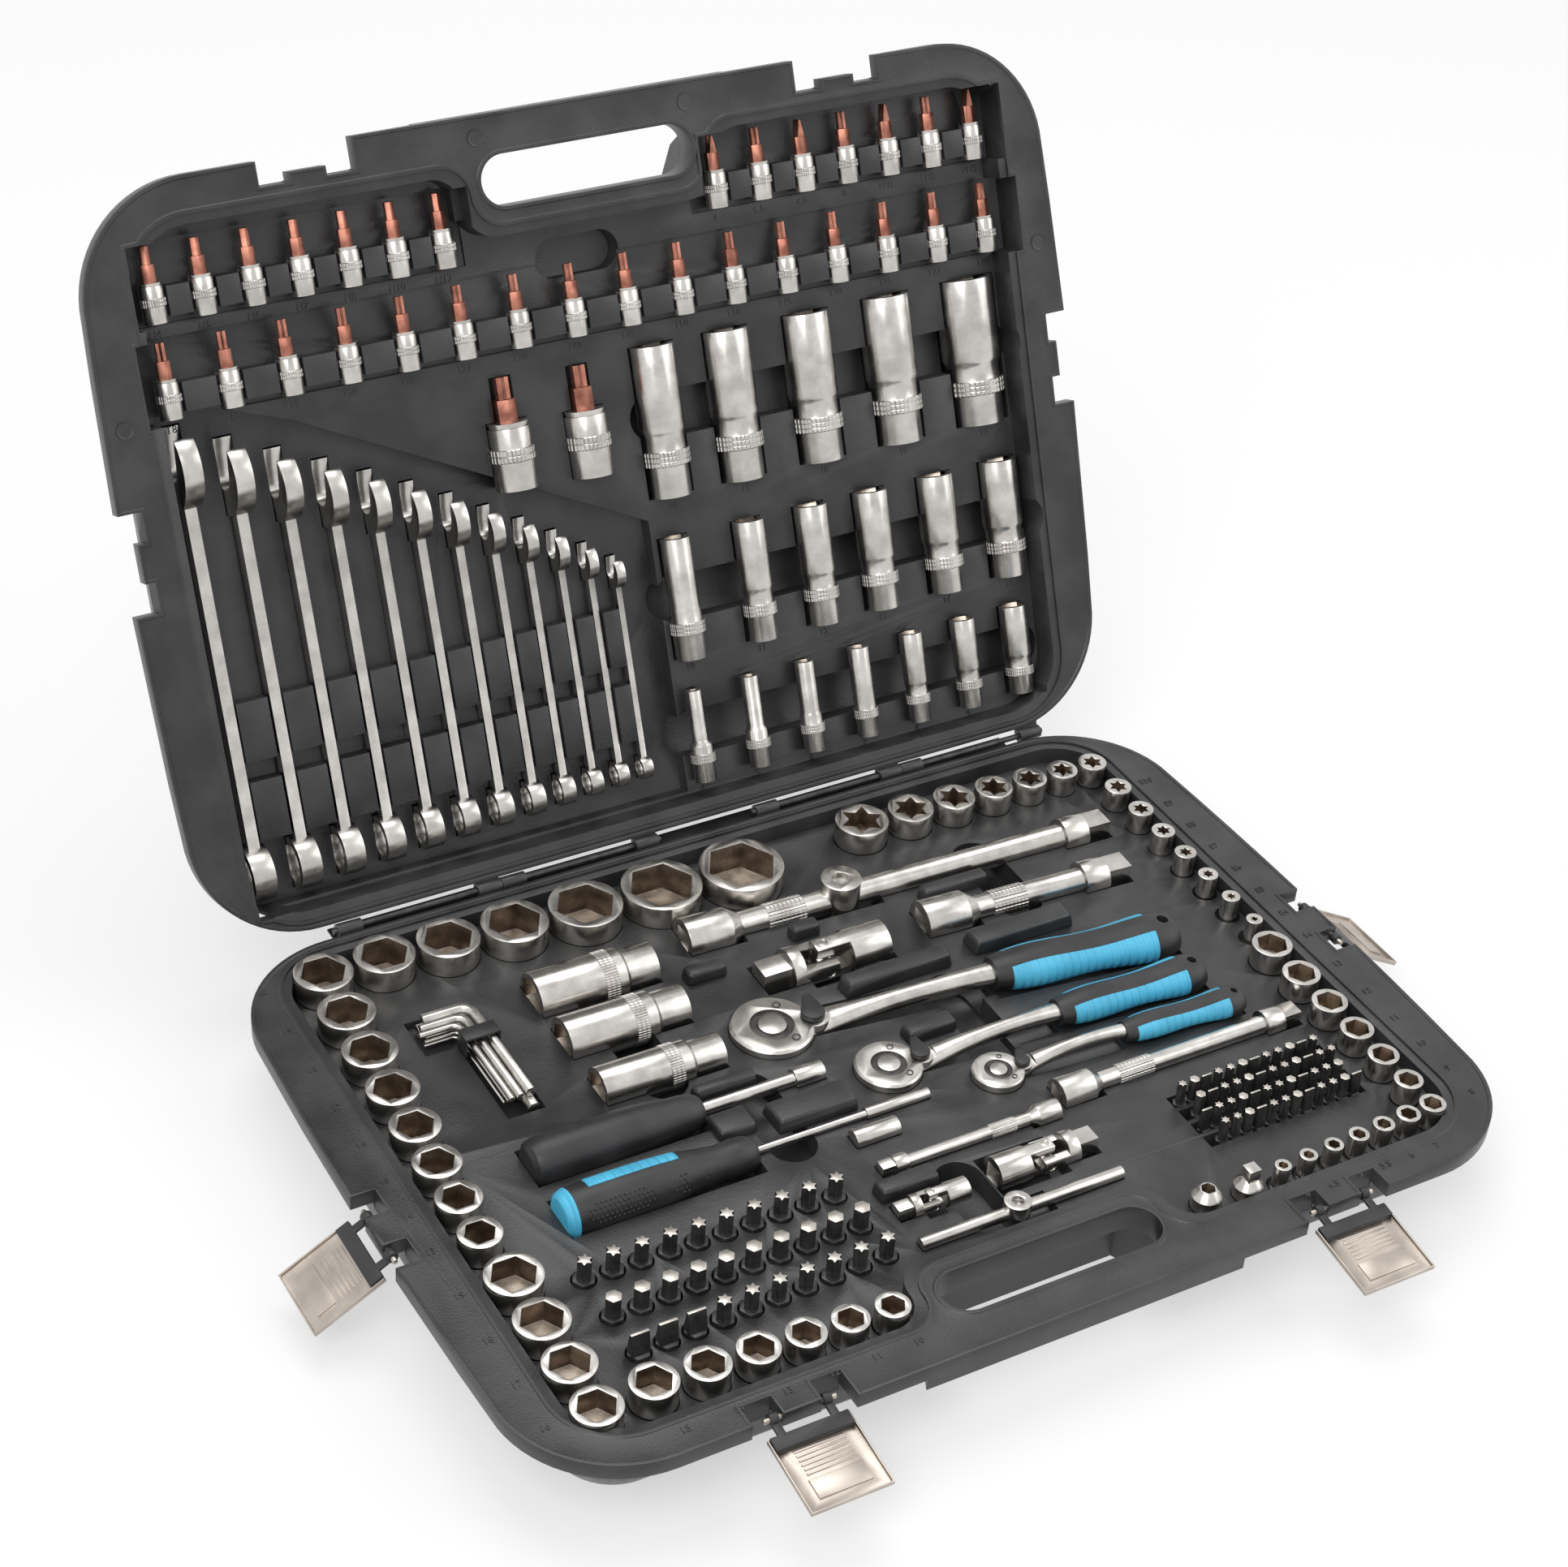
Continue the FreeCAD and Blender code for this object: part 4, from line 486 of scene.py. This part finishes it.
# bands on the lid's tools, as shares of each tool's length
lidBands = {"bit_sleeve_knurls": {"node": "bit_sleeves", "from": 0.42, "share": 0.2, "raise": 0.00015,
                                  "count": 30, "rows": 2},
            "deep_socket_knurls": {"node": "deep_sockets", "from": 0.21, "share": 0.1, "raise": 0.00012,
                                   "count": 36, "rows": 3}}
for name, look in lidBands.items():
    bands = []
    for low, high in toolBoxes[look["node"]]:
        middle = (low + high) / 2
        long = high.y - low.y
        start = (middle.x, low.y + long * look["from"], middle.z)
        radius = (high.x - low.x) / 2 + look["raise"]
        bands.append((start, away, long * look["share"], radius, look["count"], look["rows"]))
    knurlSet(name, "lid", lidSpot, bands)
print("knurled bands cut")


# moulded blocks that stand in the base tray between the tools: x from, x to, reach from, reach to, top
trayBlocks = {"floor": -0.0112, "taper": (0.93, 0.82, 1), "edge": 0.0016, "blocks": [
    (-0.065, -0.021, 0.1945, 0.2130, -0.0035), (-0.090, -0.056, 0.1690, 0.1772, -0.0040),
    (-0.092, -0.072, 0.1890, 0.2060, -0.0055), (-0.045, -0.013, 0.2620, 0.2730, -0.0045),
    (0.014, 0.076, 0.1295, 0.1415, -0.0030), (0.012, 0.028, 0.0830, 0.0920, -0.0040),
    (0.024, 0.052, 0.1730, 0.1840, -0.0045), (0.088, 0.128, 0.0845, 0.0930, -0.0040),
    (0.090, 0.150, 0.1255, 0.1400, -0.0035), (-0.052, -0.030, 0.0900, 0.1000, -0.0045)]}
blockPieces = []
for x1, x2, near, far, top in trayBlocks["blocks"]:
    block = boxBetween((x1, -far, trayBlocks["floor"]), (x2, -near, top))
    pickFaces(block, facesUp)
    middle = ((x1 + x2) / 2, -(near + far) / 2, top)
    bpy.ops.transform.resize(value=trayBlocks["taper"], center_override=middle)
    bpy.ops.object.mode_set(mode="OBJECT")
    softenEdges(block, trayBlocks["edge"], steps=3)
    blockPieces.append(block)
settle(joined(blockPieces), "base_tray_blocks", "casePlastic", "base", baseSpot)

# thin skins that close the lid wall where a deep pocket comes through it: an arc round a corner's middle,
# in degrees, with the radius at its two ends
skins = {"spannerCorner": {"middle": (-0.2065, 0.062), "from": 232, "to": 252, "radii": (0.0492, 0.0515),
                           "draft": 0.03, "top": -0.007, "low": -0.0285},
         "bitCorner": {"middle": (0.2065, 0.314), "from": 37, "to": 58, "radii": (0.0446, 0.0449),
                       "draft": 0.18, "top": -0.007, "low": -0.0215}}
skinLook = {"steps": 10, "thick": 0.0009, "level": -0.009}  # the radii are those at this level
for name, skin in skins.items():
    bpy.ops.mesh.primitive_grid_add(x_subdivisions=skinLook["steps"], y_subdivisions=1, size=1)
    sheet = bpy.context.object
    for vertex in sheet.data.vertices:
        share = vertex.co.x + 0.5
        turn = math.radians(skin["from"] + (skin["to"] - skin["from"]) * share)
        height = skin["top"] if vertex.co.y > 0 else skin["low"]
        radius = skin["radii"][0] + (skin["radii"][1] - skin["radii"][0]) * share
        radius += skin["draft"] * (height - skinLook["level"])
        x = skin["middle"][0] + radius * math.cos(turn)
        y = skin["middle"][1] + radius * math.sin(turn)
        vertex.co = (x, y, height)
    wall = sheet.modifiers.new("wall", "SOLIDIFY")
    wall.thickness = skinLook["thick"]
    wall.offset = 0
    bpy.ops.object.modifier_apply(modifier=wall.name)
    turnOut()
    bpy.ops.object.shade_smooth_by_angle(angle=smoothing)
    settle(sheet, "lid_skin_" + name, "casePlastic", "lid", lidSpot)

# folded skins at the two ends of the handle bay: a ledge under the handle and a wall beside the first sleeve
bayEnds = {"right": {"near": 0.0585, "far": 0.0674, "from": 0.317, "to": 0.349},
           "left": {"near": -0.0636, "far": -0.0692, "from": 0.327, "to": 0.346}}
ledge = {"top": -0.0130, "low": -0.0142, "wallLow": -0.0206, "wall": 0.0008}
for name, end in bayEnds.items():
    low = (min(end["near"], end["far"]), end["from"], ledge["low"])
    high = (max(end["near"], end["far"]), end["to"], ledge["top"])
    fold = boxBetween(low, high)
    wallStart = abs(end["far"]) - ledge["wall"]
    bpy.ops.object.mode_set(mode="EDIT")
    bpy.ops.mesh.select_all(action="SELECT")
    bpy.ops.mesh.bisect(plane_co=(math.copysign(wallStart, end["far"]), 0, 0), plane_no=right)
    bpy.ops.object.mode_set(mode="OBJECT")
    pickFaces(fold, lambda face: face.normal.z < -0.9 and abs(face.center.x) > wallStart)
    down = (0, 0, ledge["wallLow"] - ledge["low"])
    bpy.ops.mesh.extrude_region_move(TRANSFORM_OT_translate={"value": down})
    bpy.ops.object.mode_set(mode="OBJECT")
    settle(fold, "lid_bay_skin_" + name, "casePlastic", "lid", lidSpot)
print("lid skins closed")

# moulded lip behind the hinge rods, between the halves
lip = {"half": 0.198, "front": -0.0046, "back": 0.0080, "top": -0.0038, "thick": 0.0014, "edge": 0.0005}
hingeLip = boxBetween((-lip["half"], lip["front"], lip["top"] - lip["thick"]),
                      (lip["half"], lip["back"], lip["top"]))
softenEdges(hingeLip, lip["edge"])
settle(hingeLip, "hinge_lip", "casePlastic", "base", baseSpot)
print("tray blocks and hinge lip moulded")


# moulded size numbers, raised on the base rim and on the lid tray
numbers = {"height": 0.0052, "raise": 0.00035, "sideX": 0.2465, "frontY": -0.3605,
           "baseZ": rim - rimStep["drop"], "lidZ": -0.018, "deepGap": 0.0055, "sleeveGap": 0.0058}


def sizeMarks(name, body, marks, place):
    pieces = []
    for text, spot in marks:
        bpy.ops.object.text_add(location=spot)
        mark = bpy.context.object
        mark.data.body = text
        mark.data.align_x = "CENTER"
        mark.data.align_y = "CENTER"
        mark.data.size = numbers["height"]
        mark.data.extrude = numbers["raise"]
        mark.data.resolution_u = 2
        bpy.ops.object.convert(target="MESH")
        pieces.append(mark)
    joinedMarks = joined(pieces)
    bpy.ops.object.transform_apply(location=True, rotation=True, scale=True)
    settle(joinedMarks, name, "casePlastic", body, place)


def fromBack(centre):
    return -centre.y


def fromLeft(centre):
    return centre.x


# rows of sockets along the base rim: which of the node's sockets, their order, the fixed side, the labels
rimRows = [
    {"node": "half_inch_sockets", "keep": lambda c: c.x < -0.2, "order": fromBack, "x": -numbers["sideX"],
     "labels": "20 19 18 17 16 15 14 13"},
    {"node": "three_eighth_sockets", "keep": lambda c: c.x < -0.21, "order": fromBack,
     "x": -numbers["sideX"], "labels": "19 18 17 16"},
    {"node": "three_eighth_sockets", "keep": lambda c: c.x > -0.21, "order": fromLeft,
     "y": numbers["frontY"], "labels": "15 14 13 12 11 10"},
    {"node": "star_sockets", "keep": lambda c: c.x > 0.21 and c.y < -0.05, "order": fromBack,
     "x": numbers["sideX"], "labels": "E10 E9 E8 E7 E6 E5 E4"},
    {"node": "quarter_inch_sockets", "keep": lambda c: c.x > 0.2 and c.y > -0.3385, "order": fromBack,
     "x": numbers["sideX"], "labels": "14 13 12 11 10 9 8"},
    {"node": "quarter_inch_sockets", "keep": lambda c: c.x < 0.212 and c.y < -0.33, "order": fromLeft,
     "y": numbers["frontY"], "labels": "4 4.5 5 5.5 6 7"}]
marks = []
for row in rimRows:
    centres = [(low + high) / 2 for low, high in toolBoxes[row["node"]]]
    found = sorted([centre for centre in centres if row["keep"](centre)], key=row["order"])
    for centre, label in zip(found, row["labels"].split()):
        marks.append((label, (row.get("x", centre.x), row.get("y", centre.y), numbers["baseZ"])))
sizeMarks("base_numbers", "base", marks, baseSpot)

# rows of tools in the lid: which of the node's tools, the gap under them, the labels from the left
lidRows = [
    {"node": "deep_sockets", "keep": lambda low, high: 0.2 < (low.y + high.y) / 2 < 1,
     "gap": numbers["deepGap"], "labels": "16 17 18 19 22"},
    {"node": "deep_sockets", "keep": lambda low, high: 0.1 < (low.y + high.y) / 2 < 0.2,
     "gap": numbers["deepGap"], "labels": "10 11 12 13 14 15"},
    {"node": "deep_sockets", "keep": lambda low, high: 0 < (low.y + high.y) / 2 < 0.1,
     "gap": numbers["deepGap"], "labels": "4 5 6 7 8 9 10"},
    {"node": "bit_sleeves", "keep": lambda low, high: low.y > 0.295, "gap": numbers["sleeveGap"],
     "labels": "H4 H5 H6 H7 H8 H10 H12 4 5.5 6.5 8 PH1 PH2 PH3"},
    {"node": "bit_sleeves", "keep": lambda low, high: 0.25 < low.y <= 0.295, "gap": numbers["sleeveGap"],
     "labels": "T8 T10 T15 T20 T25 T27 T30 T40 T45 T50 T10 T15 T20 T25 T27 T30"}]
marks = []
for row in lidRows:
    found = [box for box in toolBoxes[row["node"]] if row["keep"](*box)]
    for (low, high), label in zip(sorted(found, key=lambda box: box[0].x), row["labels"].split()):
        marks.append((label, ((low.x + high.x) / 2, low.y - row["gap"], numbers["lidZ"])))
sizeMarks("lid_numbers", "lid", marks, lidSpot)
print("numbers moulded")


# round moulding marks on the lid rim, each with a shallow dish
rounds = {"radius": 0.0042, "raise": 0.0006, "sunk": 0.0001, "border": 0.0009, "dish": 0.0003,
          "spots": [(-0.057, 0.3655), (0.057, 0.3655), (-0.253, 0.262), (0.253, 0.262)]}
discLevel = rim - rimStep["drop"] + rounds["raise"] / 2 - rounds["sunk"]
for index, (x, y) in enumerate(rounds["spots"]):
    bpy.ops.mesh.primitive_cylinder_add(vertices=32, radius=rounds["radius"], depth=rounds["raise"],
                                        location=(x, y, discLevel))
    disc = bpy.context.object
    bpy.ops.object.transform_apply(location=True)
    pickFaces(disc, facesUp)
    bpy.ops.mesh.inset(thickness=rounds["border"])
    bpy.ops.transform.translate(value=(0, 0, -rounds["dish"]))
    bpy.ops.object.mode_set(mode="OBJECT")
    settle(disc, "lid_round_%d" % index, "casePlastic", "lid", lidSpot)


# cover screws on the ratchet heads, with a round recess each; scale is the ratchet's size beside the largest
ratchets = {"half_ratchet": {"scale": 1.0, "head": (-0.0314, -0.1458), "tail": (0.1883, -0.1708)},
            "three_ratchet": {"scale": 0.8, "head": (0.0055, -0.1945), "tail": (0.1838, -0.2012)},
            "quarter_ratchet": {"scale": 0.62, "head": (0.0513, -0.2206), "tail": (0.1894, -0.2279)}}
screws = {"top": -0.0065, "radius": 0.0021, "height": 0.001, "ahead": 0.0075, "across": (0.0125, -0.0125),
          "border": 0.0008, "recess": 0.0006}
for name, tool in ratchets.items():
    scale = tool["scale"]
    run = Vector((tool["tail"][0] - tool["head"][0], tool["tail"][1] - tool["head"][1], 0)).normalized()
    side = Vector((-run.y, run.x, 0))
    for index, across in enumerate(screws["across"]):
        spot = Vector((*tool["head"], screws["top"])) + run * screws["ahead"] * scale + side * across * scale
        bpy.ops.mesh.primitive_cylinder_add(vertices=24, radius=screws["radius"] * scale,
                                            depth=screws["height"], location=spot)
        screw = bpy.context.object
        bpy.ops.object.transform_apply(location=True)
        pickFaces(screw, facesUp)
        bpy.ops.mesh.inset(thickness=screws["border"] * scale)
        bpy.ops.transform.translate(value=(0, 0, -screws["recess"]))
        bpy.ops.object.mode_set(mode="OBJECT")
        settle(screw, "%s_screw_%d" % (name, index), "blackGrip", "base", baseSpot)
print("small fittings added")


def seenRays(tree):
    # one for camera, mirror and see-through rays, so that the white shows in all three
    rays = tree.nodes.new("ShaderNodeLightPath")
    direct = tree.nodes.new("ShaderNodeMath")
    direct.operation = "MAXIMUM"
    tree.links.new(rays.outputs["Is Camera Ray"], direct.inputs[0])
    tree.links.new(rays.outputs["Is Transmission Ray"], direct.inputs[1])
    mirrored = tree.nodes.new("ShaderNodeMath")
    mirrored.operation = "MAXIMUM"
    tree.links.new(direct.outputs["Value"], mirrored.inputs[0])
    tree.links.new(rays.outputs["Is Glossy Ray"], mirrored.inputs[1])
    return mirrored.outputs["Value"]


# white floor that keeps the shadow
floorLook = {"size": 12, "level": -0.0002, "colour": (0.9, 0.9, 0.9), "glow": 0.55}
bpy.ops.mesh.primitive_plane_add(size=floorLook["size"], location=(0, 0, floorLook["level"]))
floor = bpy.context.object
floor.name = "studioFloor"
floorPaint = bpy.data.materials.new("studioFloor")
floorPaint.use_nodes = True
tree = floorPaint.node_tree
tree.nodes.remove(tree.nodes["Principled BSDF"])
matte = addNode(tree, "BsdfDiffuse", {"Color": (*floorLook["colour"], 1)})
glow = addNode(tree, "Emission", {"Strength": 1})
share = addNode(tree, "Math", {1: floorLook["glow"]})
share.operation = "MULTIPLY"
mix = tree.nodes.new("ShaderNodeMixShader")
tree.links.new(seenRays(tree), share.inputs[0])
tree.links.new(share.outputs["Value"], mix.inputs["Fac"])
tree.links.new(matte.outputs["BSDF"], mix.inputs[1])
tree.links.new(glow.outputs["Emission"], mix.inputs[2])
tree.links.new(mix.outputs["Shader"], tree.nodes["Material Output"].inputs["Surface"])
floor.data.materials.append(floorPaint)
floor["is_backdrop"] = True

# sky: white where it is seen, dimmer as a light
skyLook = {"lit": 0.55, "seen": 1.0}
world = bpy.data.worlds.new("studio")
bpy.context.scene.world = world
world.use_nodes = True
tree = world.node_tree
sky = tree.nodes["Background"]
sky.inputs["Color"].default_value = (1, 1, 1, 1)
strength = addNode(tree, "MapRange", {"To Min": skyLook["lit"], "To Max": skyLook["seen"]})
tree.links.new(seenRays(tree), strength.inputs["Value"])
tree.links.new(strength.outputs["Result"], sky.inputs["Strength"])

lamps = {"key": {"spot": (-1.6, -1.2, 2.4), "size": 1.8, "power": 42},
         "fill": {"spot": (1.9, -0.8, 1.6), "size": 2.0, "power": 16},
         "top": {"spot": (0.2, 0.9, 2.6), "size": 1.6, "power": 22}}
lampAim = Vector((0, 0.05, 0.1))
for name, lamp in lamps.items():
    bpy.ops.object.light_add(type="AREA", location=lamp["spot"])
    light = bpy.context.object
    light.name = "lamp_" + name
    light.data.size = lamp["size"]
    light.data.energy = lamp["power"]
    light.rotation_euler = (lampAim - light.location).to_track_quat("-Z", "Y").to_euler()

# camera fitted to the photo
lens = {"spot": (-0.66846, -0.95146, 1.05103), "aim": (0.43268, 0.68002, -0.59191),
        "roll": math.radians(4.827), "millimetres": 73.48, "sensor": 36}
bpy.ops.object.camera_add(location=lens["spot"])
camera = bpy.context.object
camera.name = "photoCamera"
camera.data.lens = lens["millimetres"]
camera.data.sensor_width = lens["sensor"]
forward = Vector(lens["aim"]).normalized()
level = forward.cross(Vector((0, 0, 1))).normalized()
upright = level.cross(forward)
across = level * math.cos(lens["roll"]) + upright * math.sin(lens["roll"])
camera.rotation_euler = Matrix((across, across.cross(forward), -forward)).transposed().to_euler()
bpy.context.scene.camera = camera
bpy.context.scene.view_settings.view_transform = "Standard"
print("stage ready")

low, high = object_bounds()
